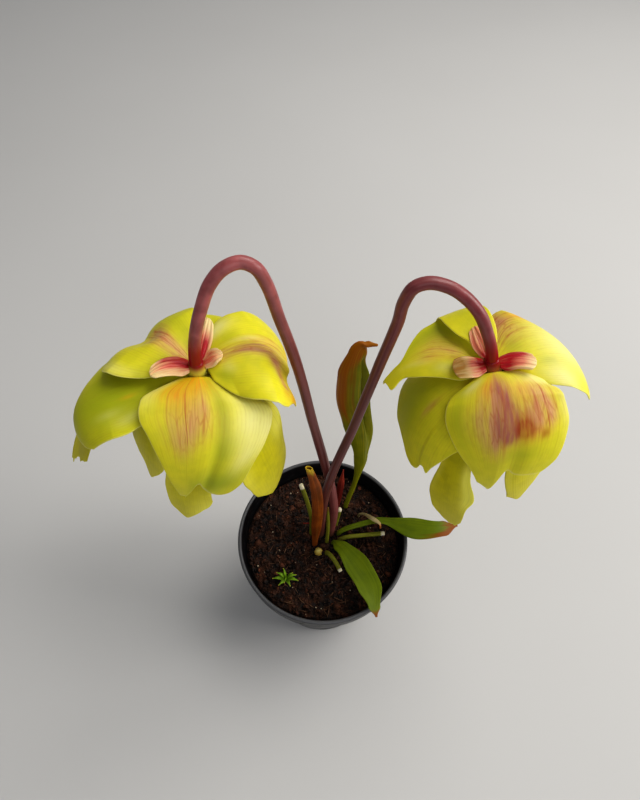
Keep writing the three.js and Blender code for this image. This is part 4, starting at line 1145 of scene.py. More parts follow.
def stem_shell(flower, seed):
    """A tube whose radius is STEM_RADIUS times a slow swelling, and the knob at its end."""
    route = rooted(STEM_FEET[flower["name"]], STEM_POINTS[flower["name"]])
    swelling = sizes((0, 1.1), (0.5, 0.95), (0.8, 1.05), (0.96, 1.0), (1, 1.12))

    def size(u):
        return STEM_RADIUS * swelling(u)

    def wander(u, a):
        return circle(1 + 0.03 * soft_noise(np.stack([np.cos(a) + 5, np.sin(a) + 5, 26 * u], -1), seed), a)

    tube = tube_along(route, size, size, [0, 1, 0], STEM_ROWS, STEM_SIDES, wander,
                      lime=lambda u, a, x, y: 0 * u)
    brown = BROWNNESS[flower["name"]]
    turn = np.linspace(0, 1, KNOB_ROWS)
    radius = sizes((0, 0.8), (0.1, 3.3), (0.3, 3.6), (0.68, 3.5), (1, 2.3))(turn)
    knob = rings_about_axis(radius, lerp(RECEPTACLE["bottom"], RECEPTACLE["top"], turn), KNOB_SIDES)
    lime = (eased(turn, 0.95, 0.7) * (1 - 0.8 * brown))[:, None]
    knob = closed_tube(on_head(knob, flower), grain=knob / [1, 1, GRAIN_STEP], along=np.ones(knob.shape[:2]),
                       lime=np.broadcast_to(lime, knob.shape[:2]))
    points, triangles, fields = joined([tube, knob])
    return points, triangles, {**fields, "brown": np.full((len(points), 1), brown)}


def stem_material():
    """Three stretches of mauve-red, browner on one stem, with dark patches and paler streaks. The end is
    crimson, the knob lime, and the foot earthy."""
    material, tree, shader = new_material("stem")
    grain, along, brown = field(tree, "grain", "Vector"), field(tree, "along"), field(tree, "brown")
    skin = use_group(tree, SKIN, Scale=2200.0)
    veins = use_group(tree, VEINS, Grain=grain, Across=3.2, Along=0.35, Width=0.2)
    low = mixed(tree, brown, rgb(0.20, 0.050, 0.050), rgb(0.09, 0.018, 0.010))
    middle = mixed(tree, brown, rgb(0.13, 0.030, 0.026), rgb(0.09, 0.018, 0.012))
    # Painted light, in part: the arch stretch is lighter, as the top of the arch is where light falls.
    high = mixed(tree, brown, rgb(0.42, 0.110, 0.110), rgb(0.24, 0.045, 0.050))
    colour = layered(tree, low,
                     (remapped(tree, along, 0.15, 0.35), middle),
                     (remapped(tree, along, 0.55, 0.8), high),
                     (times(tree, skin["Patches"], 0.5), rgb(0.12, 0.018, 0.018)),
                     (times(tree, veins["Streaks"], 0.3), rgb(0.36, 0.14, 0.13)),
                     (remapped(tree, along, 0.92, 0.965), rgb(0.27, 0.002, 0.008)),
                     (field(tree, "lime"), rgb(0.60, 0.52, 0.06)),
                     (remapped(tree, along, 0.10, 0.02), rgb(0.10, 0.06, 0.02)))
    height = times_plus(tree, veins["Streaks"], 0.3, times(tree, skin["Height"], 0.5))
    set_shader(tree, shader, Base_Color=colour, Normal=bumped(tree, height, 0.25, 0.0002),
               Roughness=remapped(tree, skin["Height"], 0.3, 0.7, 0.3, 0.42), Subsurface_Weight=0.1,
               Subsurface_Scale=0.001, Subsurface_Radius=(1.0, 0.3, 0.2), Specular_IOR_Level=0.45, IOR=1.5)
    return material


stem_skin = stem_material()
for seed, flower in enumerate(FLOWERS, STEM_SEED):
    make_piece(f"{flower['name']}_stem_body", stem_shell(flower, seed), stem_skin, "stem",
               f"{flower['name']}_stem")

# %% [markdown]
# ## Pitchers
# A pitcher is a leaf rolled into a tube, with a seam-like wing down its front and a hood bent over its
# mouth. Both are tubes whose cross-section is shaped as it goes: a groove for the mouth's slit, a ridge for
# the wing. The short one is open, so its wall turns over at a lip and runs down again inside.

# %% Build the tall hooded pitcher
SLIT_AT, WING_AT = 2 * np.pi - 0.62, 2 * np.pi - 0.25
TALL_ROWS, TALL_SIDES = 150, 72


def tall_pitcher_shell():
    """An ellipse along the route. Near the top a groove cuts into the side that faces front-right, and a thin
    wing stands out along the front."""
    route = rooted((12.9, 20.8), [
        [17.2, 26.5, 92], [18.6, 29.6, 109], [17.4, 32.6, 125], [14.8, 36, 139], [12.4, 39, 151],
        [11.8, 41.6, 164], [12.6, 44, 176], [15.4, 45.8, 183], [21, 44.6, 184.5]])
    width = sizes((0, 1.3), (0.25, 1.4), (0.42, 3.4), (0.6, 6.8), (0.72, 7.4), (0.83, 6.8), (0.92, 4),
                  (1, 0.7))
    depth = sizes((0, 1.2), (0.3, 1.3), (0.6, 3.4), (0.8, 3.8), (0.92, 2.2), (1, 0.5))

    def section(u, a):
        slit = 0.62 * bump(a, SLIT_AT, 0.20) * eased(u, 0.5, 0.62) * eased(u, 0.93, 0.86)
        wing = 0.20 * bump(a, WING_AT, 0.12) * eased(u, 0.3, 0.5) * eased(u, 0.92, 0.8)
        return circle(1 - slit + wing, a)

    def bronze(u, a, x, y):
        left = eased(-x, -0.7, 0.9)
        return np.clip(left * eased(u, 0.5, 0.75) + 0.8 * eased(u, 0.86, 0.95), 0, 1)

    # Painted shade: near black along the slit, where the mouth lies in shade.
    def hollow(u, a, x, y):
        return bump(a, SLIT_AT, 0.13) * eased(u, 0.55, 0.65) * eased(u, 0.93, 0.88)

    return tube_along(route, width, depth, [1, 0, 0.25], TALL_ROWS, TALL_SIDES, section, bronze=bronze,
                      hollow=hollow)


# %% Build the short open pitcher
WALL = 0.5
OUTER_ROWS, LIP_ROWS, INNER_ROWS, SHORT_SIDES = 90, 7, 30, 48


def short_pitcher_shell():
    """The outer wall runs up to the lip, rolls over it, and the inner wall runs down inside the tube."""
    route = rooted((-4.2, -1.2), [[-3.6, -0.2, 88], [-2.9, 1.4, 114], [-3.8, 2.6, 132], [-6.6, 3.4, 150]])
    width = sizes((0, 1.6), (0.15, 1.6), (0.4, 2.7), (0.6, 2.8), (0.82, 2.6), (0.94, 1.9), (1, 1.35))
    depth = sizes((0, 1.4), (0.15, 1.4), (0.4, 2.2), (0.8, 2.0), (1, 0.9))
    roll = np.linspace(0, np.pi, LIP_ROWS + 2)[1:-1]
    u = np.concatenate([np.linspace(0, 1, OUTER_ROWS), np.ones(LIP_ROWS), np.linspace(1, 0.8, INNER_ROWS)])
    lift = np.concatenate([np.zeros(OUTER_ROWS), WALL * 0.7 * np.sin(roll), np.zeros(INNER_ROWS)])
    inset = np.concatenate([np.zeros(OUTER_ROWS), WALL * (1 - np.cos(roll)) / 2, np.full(INNER_ROWS, WALL)])
    centre, heading = route(u)
    side = unit(np.array([1.0, 0, 0]) - heading[:, :1] * heading)
    across = np.cross(heading, side)
    a = around(SHORT_SIDES)
    wing = 1 + 0.22 * bump(a, 3 * np.pi / 2, 0.14) * (eased(u, 0.2, 0.4) * (inset == 0))[:, None]
    flare = 0.2 * eased(u, 0.96, 1.0)[:, None] * (1 - 0.6 * np.cos(a))
    w, d = (width(u) - inset)[:, None] + flare, (depth(u) - inset)[:, None] + flare
    tall = lift[:, None] + 1.6 * eased(u, 0.9, 1.0)[:, None] * (0.5 - 0.5 * np.cos(a))
    rings = (centre[:, None] + side[:, None] * (w * wing * np.cos(a))[..., None]
             + across[:, None] * (d * wing * np.sin(a))[..., None] + heading[:, None] * tall[..., None])

    def spread(values):
        return np.broadcast_to(values, rings.shape[:2])

    grain = np.stack([spread(np.cos(a)), spread(np.sin(a)), spread(u[:, None]) * 8], -1)
    lip = spread((eased(u, 0.93, 1.0) * np.where(inset == WALL, 0.6, 1))[:, None])
    # Painted shade: the inner wall turns near black a little below the lip, as shade inside the tube.
    hollow = spread((eased(inset, 0.3, 0.5) * eased(u, 1.0, 0.9))[:, None])
    return closed_tube(rings, grain=grain, along=spread(u[:, None]), lip=lip, hollow=hollow)


# %% [markdown]
# Leaves, pitchers and stubs share one way of colouring: a young green, a second colour that a field brings
# in, and a painted shade, near black, inside where the tube opens. One function makes each material from
# its own colours.

# %% The leaf finishes
def leaf_material(name, base, shade, accent, gloss, accent_field="bronze", hollow=False, line=None):
    """Base and shade in streaks along the grain, the accent colour where its field says, and painted shade in
    the hollows. Lines along it are of the shade too, unless another colour is given."""
    material, tree, shader = new_material(name)
    grain = field(tree, "grain", "Vector")
    skin = use_group(tree, SKIN, Scale=1900.0)
    veins = use_group(tree, VEINS, Grain=grain, Across=4.5, Along=0.5, Width=0.25)
    shaded = times_plus(tree, veins["Streaks"], 0.5, times(tree, skin["Patches"], 0.3))
    reach = times_plus(tree, veins["Streaks"], 0.4, maths(tree, "SUBTRACT", field(tree, accent_field), 0.2))
    colour = layered(tree, base, (shaded, shade), (remapped(tree, reach, 0.1, 0.9), accent))
    # Painted shade: near black where the tube opens, for the shade inside it.
    if hollow:
        colour = mixed(tree, field(tree, "hollow"), colour, rgb(0.012, 0.010, 0.004))
    colour = mixed(tree, times(tree, veins["Lines"], 0.5), colour, line or shade)
    height = times_plus(tree, veins["Lines"], 0.5, times(tree, skin["Height"], 0.5))
    set_shader(tree, shader, Base_Color=colour, Normal=bumped(tree, height, 0.4, 0.0002),
               Roughness=remapped(tree, skin["Height"], 0.3, 0.7, gloss - 0.06, gloss + 0.08),
               Subsurface_Weight=0.08, Subsurface_Scale=0.0008, Subsurface_Radius=(0.8, 0.8, 0.2), IOR=1.43,
               Specular_IOR_Level=0.2)
    return material


hood_skin = leaf_material("leaf", rgb(0.24, 0.24, 0.006), rgb(0.12, 0.14, 0.004), rgb(0.34, 0.105, 0.005),
                          0.4, hollow=True, line=rgb(0.50, 0.36, 0.01))
short_skin = leaf_material("bronze", rgb(0.34, 0.085, 0.008), rgb(0.08, 0.016, 0.005), rgb(0.58, 0.40, 0.03),
                           0.4, accent_field="lip", hollow=True)
make_piece("pitcher_tall_body", tall_pitcher_shell(), hood_skin, "leaf", "pitcher_tall")
make_piece("pitcher_short_body", short_pitcher_shell(), short_skin, "bronze", "pitcher_short")

# %% [markdown]
# ## Flat leaves
# Two leaves never rolled up and stayed flat swords: thin, with a midrib below and edges that curl up a
# little. Their cross-section is a very flat ellipse, bent into a shallow trough, and the bronze field turns
# the tip and one edge orange-red, as full sun does. The thin red, withered and papery ones are made alike.

# %% Build the leaves
def leaf_section(cup, rib, flute=0.0):
    """x = cos a. y = sin a, raised by cup times x squared, with a rib under the middle and a wavy edge."""
    def section(u, a):
        x = np.cos(a)
        below = rib * bump(x, 0, 0.16) * (np.sin(a) < 0) * eased(u, 1.0, 0.8)
        lift = cup * (x**2 - 0.3) * eased(u, 0.3, 0.55) * eased(u, 1.02, 0.85)
        wave = flute * np.sin(22 * u + 2 * x) * np.abs(x) ** 3 * eased(u, 0.4, 0.6)
        return x, np.sin(a) - below + lift + wave

    return section


def tip_and_edge(low, tip_from, edge_share):
    """Bronze towards the tip, and along the edge on one side."""
    def bronze(u, a, x, y):
        along_edge = edge_share * eased(low * x, 0.2, 0.95) * eased(u, 0.66, 0.9)
        return np.clip(eased(u, tip_from, 1.0) + along_edge, 0, 1)

    return bronze


LEAF_SIDES = 40
LEAVES = {
    "leaf_right": dict(
        foot=(8.8, 4.4), points=[[12.2, 5.4, 75.5], [21, 7, 79], [30.6, 7.8, 82], [49.9, 1.7, 86.5],
                                 [61, 1.6, 87.5], [70.6, 4.3, 86]],
        width=sizes((0, 1.2), (0.4, 1.5), (0.5, 1.8), (0.72, 5.7), (0.9, 4), (1, 0.6)),
        depth=sizes((0, 1.1), (0.4, 1), (0.6, 0.55), (1, 0.3)), aside=[0.1, 1, 0.1],
        section=leaf_section(1.6, 0.7, 0.5), bronze=tip_and_edge(-1, 0.82, 0.9), look="leaf", rows=130),
    "leaf_front": dict(
        foot=(6, -0.8), points=[[8.4, -4, 77.5], [12.2, -8.6, 80.8], [16.8, -15.4, 83], [23.4, -28, 85],
                                [26.3, -42, 84.5]],
        width=sizes((0, 1.3), (0.25, 1.5), (0.36, 3.8), (0.6, 6.4), (0.78, 6), (0.93, 3), (1, 0.6)),
        depth=sizes((0, 1.1), (0.3, 0.9), (0.6, 0.5), (1, 0.3)), aside=[0.86, 0.5, 0],
        section=leaf_section(1.8, 0.8, 0.4), bronze=tip_and_edge(1, 0.93, 0.35), look="leaf", rows=120),
    "leaf_red": dict(
        foot=(3.6, 10.4), points=[[7, 14.6, 86], [8.6, 18.2, 99], [9.8, 22.5, 112]],
        width=sizes((0, 1.1), (0.25, 1.1), (0.5, 1.8), (0.8, 1.8), (1, 0.4)), depth=sizes((0, 0.9), (1, 0.5)),
        aside=[1, 0, 0], section=leaf_section(0.5, 0.3), bronze=tip_and_edge(1, 0.7, 0.4), look="crimson",
        rows=60),
    "leaf_withered": dict(
        foot=(20.2, 15), points=[[22.6, 13.4, 77.2], [26.2, 8.5, 83.4], [30.2, 5.6, 83.2], [30.6, 3.9, 81.6]],
        width=sizes((0, 0.6), (0.5, 0.65), (0.84, 1.15), (0.93, 0.9), (1, 0.35)),
        depth=sizes((0, 0.7), (1, 0.5)),
        aside=[0.3, 1, 0], section=leaf_section(0.3, 0.2, 0.35), bronze=tip_and_edge(1, 0.88, 0.2),
        look="withered", rows=70),
    "leaf_tip": dict(
        foot=(-6.4, 8.4), points=[[-7.4, 8.4, 75.2], [-10.4, 7.7, 77]],
        width=sizes((0, 0.9), (0.5, 1.1), (1, 0.3)), depth=sizes((0, 0.8), (1, 0.3)), aside=[0, 1, 0],
        section=leaf_section(0.3, 0.2), bronze=tip_and_edge(1, 0.8, 0), look="crimson", rows=40),
    "sheath": dict(
        foot=(2.3, -0.6), points=[[2.6, 0.2, 90], [2.1, 2, 112]],
        width=sizes((0, 1), (0.7, 0.9), (1, 0.5)), depth=sizes((0, 0.8), (1, 0.4)), aside=[1, 0, 0],
        section=leaf_section(0.4, 0.2), bronze=tip_and_edge(1, 0.9, 0), look="sheath", rows=50),
}
SLOTS = {"leaf": "leaf", "crimson": "crimson", "withered": "stub", "sheath": "stub"}
STRAW, STRAW_SHADE = rgb(0.23, 0.24, 0.02), rgb(0.12, 0.11, 0.01)
leaf_skins = {
    "leaf": leaf_material("leaf_flat", rgb(0.180, 0.235, 0.008), rgb(0.100, 0.150, 0.006),
                          rgb(0.26, 0.070, 0.003), 0.36),
    "crimson": leaf_material("crimson", rgb(0.16, 0.012, 0.008), rgb(0.07, 0.006, 0.004),
                             rgb(0.26, 0.03, 0.015), 0.5),
    "withered": leaf_material("withered", rgb(0.50, 0.42, 0.22), rgb(0.28, 0.20, 0.08),
                              rgb(0.42, 0.14, 0.03), 0.62),
    "sheath": leaf_material("sheath", STRAW, STRAW_SHADE, rgb(0.20, 0.10, 0.02), 0.5),
    "stub": leaf_material("stub", STRAW, STRAW_SHADE, rgb(0.84, 0.76, 0.55), 0.5),
}
for name, leaf in LEAVES.items():
    shell = tube_along(rooted(leaf["foot"], leaf["points"]), leaf["width"], leaf["depth"], leaf["aside"],
                       leaf["rows"], LEAF_SIDES, leaf["section"], bronze=leaf["bronze"])
    make_piece(f"{name}_blade", shell, leaf_skins[leaf["look"]], SLOTS[leaf["look"]], name)

# %% [markdown]
# ## Cut stubs and the rhizome
# Old leaves were snipped off, which leaves short green stalks with pale cut ends. Between them a lump of the
# creeping root shows, cream coloured, ringed and half buried.

# %% Build the stubs
STUB_RADIUS = 1.15
STUB_SEED, STUB_ROWS, STUB_SIDES = 80, 60, 24
STUBS = {
    "stub_left": dict(foot=(-6.2, 4.6), points=[[-6.4, 8.6, 82], [-8.6, 14, 92], [-11.8, 19.4, 101]]),
    "stub_centre": dict(foot=(7.2, 9.4), points=[[8.1, 10.9, 80], [8.9, 12.1, 87]]),
    "stub_right": dict(foot=(8.9, 0.2), points=[[13, 0.9, 75.4], [20, 1.6, 76.2], [33.4, 3, 76]]),
    "stub_front": dict(foot=(2.4, -6.7), points=[[4, -8.6, 74.6], [6.5, -12, 75], [9.6, -17.3, 73.8]]),
}


def stub_shell(foot, points, seed):
    """A slightly fluted tube. Its flat end is a little narrower, and pale."""
    size = sizes((0, STUB_RADIUS), (0.97, STUB_RADIUS), (1, STUB_RADIUS * 0.94))

    def section(u, a):
        lumps = soft_noise(np.stack([np.cos(a), np.sin(a), 9 * u], -1), seed)
        return circle(1 + 0.06 * np.cos(3 * a + 5 * u) + 0.05 * lumps, a)

    return tube_along(rooted(foot, points), size, size, [0.5, 0.87, 0], STUB_ROWS, STUB_SIDES, section,
                      round_end=False, bronze=lambda u, a, x, y: eased(u, 0.93, 0.965))


for seed, (name, stub) in enumerate(STUBS.items(), STUB_SEED):
    make_piece(f"{name}_stalk", stub_shell(**stub, seed=seed), leaf_skins["stub"], "stub", name)

# %% Build the rhizome
RHIZOME = dict(foot=(-2.2, -5.5), radius=2.5, rise=2.6, rows=50, sides=40, seed=90)


def rhizome_shell():
    """A ringed lump: a rounded profile turned round the vertical, with noise and leaf-scar rings."""
    turn = np.linspace(0, 1, RHIZOME["rows"])
    z = lerp(SOIL_LEVEL - ROOT_DEPTH, SOIL_LEVEL + RHIZOME["rise"], turn)
    radius = RHIZOME["radius"] * sizes((0, 0.5), (0.2, 0.9), (0.72, 1.0), (0.93, 0.75), (1, 0.2))(turn)
    rings = rings_about_axis(radius, z, RHIZOME["sides"])
    lumps = 1 + 0.22 * soft_noise(rings * 0.8 + 30, RHIZOME["seed"]) + 0.07 * np.sin(6 * rings[..., 2])
    rings = rings * np.stack([lumps, lumps, np.ones_like(lumps)], -1)
    return closed_tube(rings + [*RHIZOME["foot"], 0], grain=rings, along=np.ones(rings.shape[:2]),
                       bronze=eased(rings[..., 2], SOIL_LEVEL + 1, SOIL_LEVEL + 3))


rhizome_skin = leaf_material("rhizome", rgb(0.58, 0.42, 0.08), rgb(0.26, 0.14, 0.02),
                             rgb(0.70, 0.60, 0.20), 0.55)
make_piece("rhizome_lump", rhizome_shell(), rhizome_skin, "rhizome", "rhizome")

# %% [markdown]
# ## Seedlings
# A tuft of tiny green plants has sprouted near the rim. Each leaf is a small spoon: narrow, then wide, then
# pointed. Nine of them grow from one foot, where the CAD solid shows three.

# %% Build the seedlings
SEEDLING_FOOT = (-18.5, -21)
SEEDLING_ROWS, SEEDLING_SIDES = 30, 16
SEEDLING_TIPS = [[-25.5, -22, 76], [-20.2, -17.4, 78], [-12.4, -23, 76.5], [-22.4, -25, 74.5],
                 [-15.6, -18.6, 75], [-16.4, -25.2, 74], [-23.6, -19.4, 77.5], [-13.4, -20.6, 78],
                 [-19.4, -24.6, 77.4]]


def seedling_leaf(tip):
    """A spoon that rises from the foot, leans over half way and ends at its tip."""
    middle = [(SEEDLING_FOOT[0] + tip[0]) / 2, (SEEDLING_FOOT[1] + tip[1]) / 2, tip[2]]
    spoon, thin = sizes((0, 0.5), (0.5, 0.5), (0.8, 1.15), (1, 0.25)), sizes((0, 0.4), (1, 0.25))
    return tube_along(rooted(SEEDLING_FOOT, [middle, tip]), spoon, thin, [0.3, 1, 0], SEEDLING_ROWS,
                      SEEDLING_SIDES, leaf_section(0.6, 0.3), bronze=tip_and_edge(1, 0.97, 0.0))


seedling_skin = leaf_material("seedling", rgb(0.22, 0.38, 0.02), rgb(0.10, 0.20, 0.01),
                              rgb(0.45, 0.40, 0.05), 0.42)
make_piece("seedling_tuft", joined([seedling_leaf(tip) for tip in SEEDLING_TIPS]), seedling_skin, "leaf",
           "seedlings")

# %% [markdown]
# ## The pot
# A nursery pot is moulded from thin black plastic: a tapered tub, a stepped collar and a rolled lip, with
# drain holes in its floor. Its profile, outside and in, is turned round the vertical, and the holes are cut
# with a Boolean modifier, which is applied at once so that the piece stays a plain mesh.

# %% Build the pot
def arc(centre, radius, start, end, count):
    """Points on part of a circle, from one angle to another in degrees."""
    a = np.radians(np.linspace(start, end, count))
    return np.stack([centre[0] + radius * np.cos(a), centre[1] + radius * np.sin(a)], -1)


def pot_profile():
    """Radius and height from the middle of the base, up the outside, over the lip and down the inside."""
    rim, base, height, wall = POT["rim"], POT["base"], POT["height"], POT["wall"]
    shoulder, collar, lip = rim - POT["lip"] - POT["step"], height - POT["collar"], 1.0
    mouth, floor = rim - lip - wall, POT["floor"]
    bead = arc((rim - lip, height - lip), lip, -75, 150, 22)
    return np.concatenate([
        [[6, 0], [base - 6, 0], [base - 3, 0.25], [base - 1.5, 0]], arc((base - 0.8, 0.8), 0.8, -90, -10, 6),
        [[lerp(base, shoulder, t), lerp(1.2, collar - 0.8, t)] for t in (0.25, 0.5, 0.75)],
        [[shoulder, collar - 0.8], [shoulder + 0.15, collar - 0.2], [rim - lip - 0.25, collar + 0.35],
         [rim - lip, collar + 0.9], [rim - lip, height - 4]], bead,
        [[mouth, height - 2.2], [mouth, height - 6], [shoulder - wall + 0.5, collar + 0.8],
         [shoulder - wall, collar], [lerp(base, shoulder, 0.5) - wall, collar / 2],
         [base - wall, floor + 1], [base - wall - 1, floor], [6, floor]],
    ])


DRAIN = dict(holes=6, radius=3.2, reach=21)


def drained(piece):
    """Cuts the drain holes with six short cylinders, applies the cut and removes the cutter."""
    drill = rings_about_axis([DRAIN["radius"]] * 2, [-3.0, 6.0], 32)
    angles = 2 * np.pi * (np.arange(DRAIN["holes"]) + 0.5) / DRAIN["holes"]
    points, triangles, _ = joined([closed_tube(drill + spoke(a, DRAIN["reach"], 0)) for a in angles])
    mesh = bpy.data.meshes.new("drill")
    mesh.from_pydata((points * MM).tolist(), [], triangles.tolist())
    cutter = add_object("drill", mesh)
    cut = piece.modifiers.new("drain", "BOOLEAN")
    cut.object, cut.operation, cut.solver = cutter, "DIFFERENCE", "EXACT"
    graph = bpy.context.evaluated_depsgraph_get()
    finished = bpy.data.meshes.new_from_object(piece.evaluated_get(graph))
    piece.modifiers.clear()
    piece.data = finished
    bpy.data.objects.remove(cutter)
    print("pot after drilling:", len(finished.polygons), "faces")


def pot_material():
    """Black plastic with a soft shine, fine scuffs, a painted highlight along the top of the rim and a
    little dried peat.
    """
    material, tree, shader = new_material("pot_plastic")
    place = on_piece(tree)
    height = add_node(tree, "ShaderNodeSeparateXYZ", {0: place}).outputs[2]
    scuff = remapped(tree, noise(tree, stretched(tree, place, (1, 1, 5)), 260.0, 6.0), 0.56, 0.74)
    # Painted highlight: the rim mask lightens the top of the rolled lip to grey, where light catches it. The
    # scuffs mixed in with it are real wear.
    rim = remapped(tree, height, (POT["height"] - 1.2) * MM, (POT["height"] - 0.2) * MM)
    dust = remapped(tree, noise(tree, place, 75.0, 8.0), 0.48, 0.72)
    scuffs_and_rim_highlight = times_plus(tree, rim, 0.7, times(tree, scuff, 0.18), clamp=True)
    colour = layered(tree, rgb(0.005, 0.005, 0.006),
                     (times(tree, dust, 0.3), rgb(0.028, 0.018, 0.013)),
                     (scuffs_and_rim_highlight, rgb(0.12, 0.12, 0.125)))
    relief = maths(tree, "ADD", noise(tree, place, 900.0, 3.0), times(tree, scuff, 0.6))
    set_shader(tree, shader, Base_Color=colour, Normal=bumped(tree, relief, 0.25, 0.0002),
               Roughness=remapped(tree, dust, 0.0, 1.0, 0.36, 0.62), Specular_IOR_Level=0.35)
    return material


POT_SIDES = 180
profile = pot_profile()
pot_rings = rings_about_axis(profile[:, 0], profile[:, 1], POT_SIDES)
drained(make_piece("pot_tub", closed_tube(pot_rings), pot_material(), "pot", "pot"))

# %% [markdown]
# ## The peat
# Peat is a heap of crumbs and fibres. The block of soil gets a rough upper surface: noise at three scales,
# sharpened so that it has lumps and cracks. On it lie nearly three thousand crumbs and clods, threads of
# fibre and some pale grit. A crumb is an icosahedron, pushed out of shape at random; all crumbs are one mesh.

# %% Build the soil
LUMPS = dict(seed=101, period=64)
SMALL_LUMPS = dict(seed=102, period=128)


def soil_height(x, y):
    """Low swells, as in the CAD, with lumps: one minus the absolute value of noise, at two scales."""
    swell = 0.8 * (0.5 * np.sin(0.45 * x + 1) * np.cos(0.4 * y) + 0.5 * np.sin(0.8 * y + 0.6 * x))
    flat = np.stack([x, y, np.zeros_like(x)], -1)
    lumps = 1 - 2 * np.abs(soft_noise(flat * 0.42 + 50, **LUMPS))
    small_lumps = 1 - 2 * np.abs(soft_noise(flat * 1.15 + 90, **SMALL_LUMPS))
    return SOIL_LEVEL + 0.7 * swell + 0.75 * lumps + 0.35 * small_lumps


def soil_radius(z):
    """How far the soil reaches at a height, a hair inside the pot's wall."""
    shoulder = POT["rim"] - POT["lip"] - POT["step"] - POT["wall"]
    share = (z - POT["floor"]) / (POT["height"] - POT["collar"] - POT["floor"])
    return lerp(POT["base"] - POT["wall"], shoulder, share) - 0.2


SOIL_SIDES, SIDE_ROWS, TOP_ROWS = 300, 12, 150
BASE_REACH = [4, 16]


def soil_shell():
    """Rings from the middle of the base out, up the side, and over the rough top to the middle."""
    low, edge = POT["floor"] + 0.3, SOIL_LEVEL - 1.2
    side_z, rim = np.linspace(low, edge, SIDE_ROWS), soil_radius(edge)
    top = rim * np.linspace(0.999, 0.004, TOP_ROWS)
    reach = np.concatenate([BASE_REACH, soil_radius(side_z), top])[:, None]
    level = np.concatenate([[low, low], side_z, np.zeros(TOP_ROWS)])[:, None]
    on_top = (np.arange(len(reach)) >= len(reach) - TOP_ROWS)[:, None]
    a = around(SOIL_SIDES)
    x, y = reach * np.cos(a), reach * np.sin(a)
    rough = lerp(edge, soil_height(x, y), eased(reach / rim, 1.0, 0.97))
    z = np.where(on_top, rough, level)
    return closed_tube(np.stack([x, y, z], -1), tone=np.zeros(z.shape))


def peat_material():
    """Near black when wet, red-brown on the lumps, with coarse and fine relief."""
    material, tree, shader = new_material("peat")
    place = on_piece(tree)
    clod = noise(tree, place, 320.0, 6.0)
    speck = add_node(tree, "ShaderNodeTexVoronoi", {"Vector": place, "Scale": 900.0}).outputs["Distance"]
    tone = noise(tree, place, 170.0, 3.0)
    fleck = remapped(tree, noise(tree, place, 1300.0, 1.0), 0.68, 0.76)
    colour = layered(tree, rgb(0.004, 0.002, 0.0015),
                     (remapped(tree, clod, 0.35, 0.65), rgb(0.036, 0.013, 0.006)),
                     (remapped(tree, tone, 0.5, 0.66, 0.0, 0.75), rgb(0.085, 0.028, 0.011)),
                     (field(tree, "tone"), rgb(0.15, 0.045, 0.018)),
                     (times(tree, fleck, 0.6), rgb(0.22, 0.12, 0.06)))
    relief = maths(tree, "ADD", clod, times(tree, speck, 0.5))
    set_shader(tree, shader, Base_Color=colour, Normal=bumped(tree, relief, 0.9, 0.0012),
               Roughness=remapped(tree, clod, 0.3, 0.7, 0.62, 0.9), IOR=1.4)
    return material


peat = peat_material()
make_piece("soil_bed", soil_shell(), peat, "peat", "soil")

# %% Scatter the crumbs, fibres and grit
GOLDEN = (1 + 5**0.5) / 2
ICO_POINTS = unit(np.array([[-1, GOLDEN, 0], [1, GOLDEN, 0], [-1, -GOLDEN, 0], [1, -GOLDEN, 0],
                            [0, -1, GOLDEN], [0, 1, GOLDEN], [0, -1, -GOLDEN], [0, 1, -GOLDEN],
                            [GOLDEN, 0, -1], [GOLDEN, 0, 1], [-GOLDEN, 0, -1], [-GOLDEN, 0, 1]], float))
ICO_FACES = np.array([[0, 11, 5], [0, 5, 1], [0, 1, 7], [0, 7, 10], [0, 10, 11], [1, 5, 9], [5, 11, 4],
                      [11, 10, 2], [10, 7, 6], [7, 1, 8], [3, 9, 4], [3, 4, 2], [3, 2, 6], [3, 6, 8],
                      [3, 8, 9], [4, 9, 5], [2, 4, 11], [6, 2, 10], [8, 6, 7], [9, 8, 1]])


CRUMBS = dict(count=2600, smallest=0.3, largest=1.3, seed=110)
CLODS = dict(count=240, smallest=1.2, largest=2.6, seed=113, spread=0.95, lift=0.0)
GRIT = dict(count=46, smallest=0.3, largest=0.75, seed=112, spread=0.95, lift=0.8)
FIBRES = dict(count=150, seed=111, reach=38, limit=40)


def scattered(count, smallest, largest, seed, spread=0.97, lift=0.35):
    """Icosahedra of uneven shape and size, turned at random. The middle of each is lift x size above the
    soil."""
    rng = np.random.default_rng(seed)
    reach = spread * soil_radius(SOIL_LEVEL) * np.sqrt(rng.uniform(0, 1, count))
    a = rng.uniform(0, 2 * np.pi, count)
    x, y = reach * np.cos(a), reach * np.sin(a)
    size = smallest + (largest - smallest) * rng.uniform(0, 1, count) ** 3
    turn, _ = np.linalg.qr(rng.normal(size=(count, 3, 3)))
    turn = turn * np.sign(np.linalg.det(turn))[:, None, None]
    corners = len(ICO_POINTS)
    shape = ICO_POINTS[None] * rng.uniform(0.7, 1.25, (count, corners, 1))
    shape = shape * rng.uniform(0.55, 1.1, (count, 1, 3))
    shape = (shape @ turn) * size[:, None, None]
    place = np.stack([x, y, soil_height(x, y) + lift * size], -1)
    points = (shape + place[:, None]).reshape(-1, 3)
    triangles = (ICO_FACES[None] + corners * np.arange(count)[:, None, None]).reshape(-1, 3)
    tone = np.repeat(0.8 * rng.uniform(0, 1, count) ** 6, corners)[:, None]
    return points, triangles, {"tone": tone}


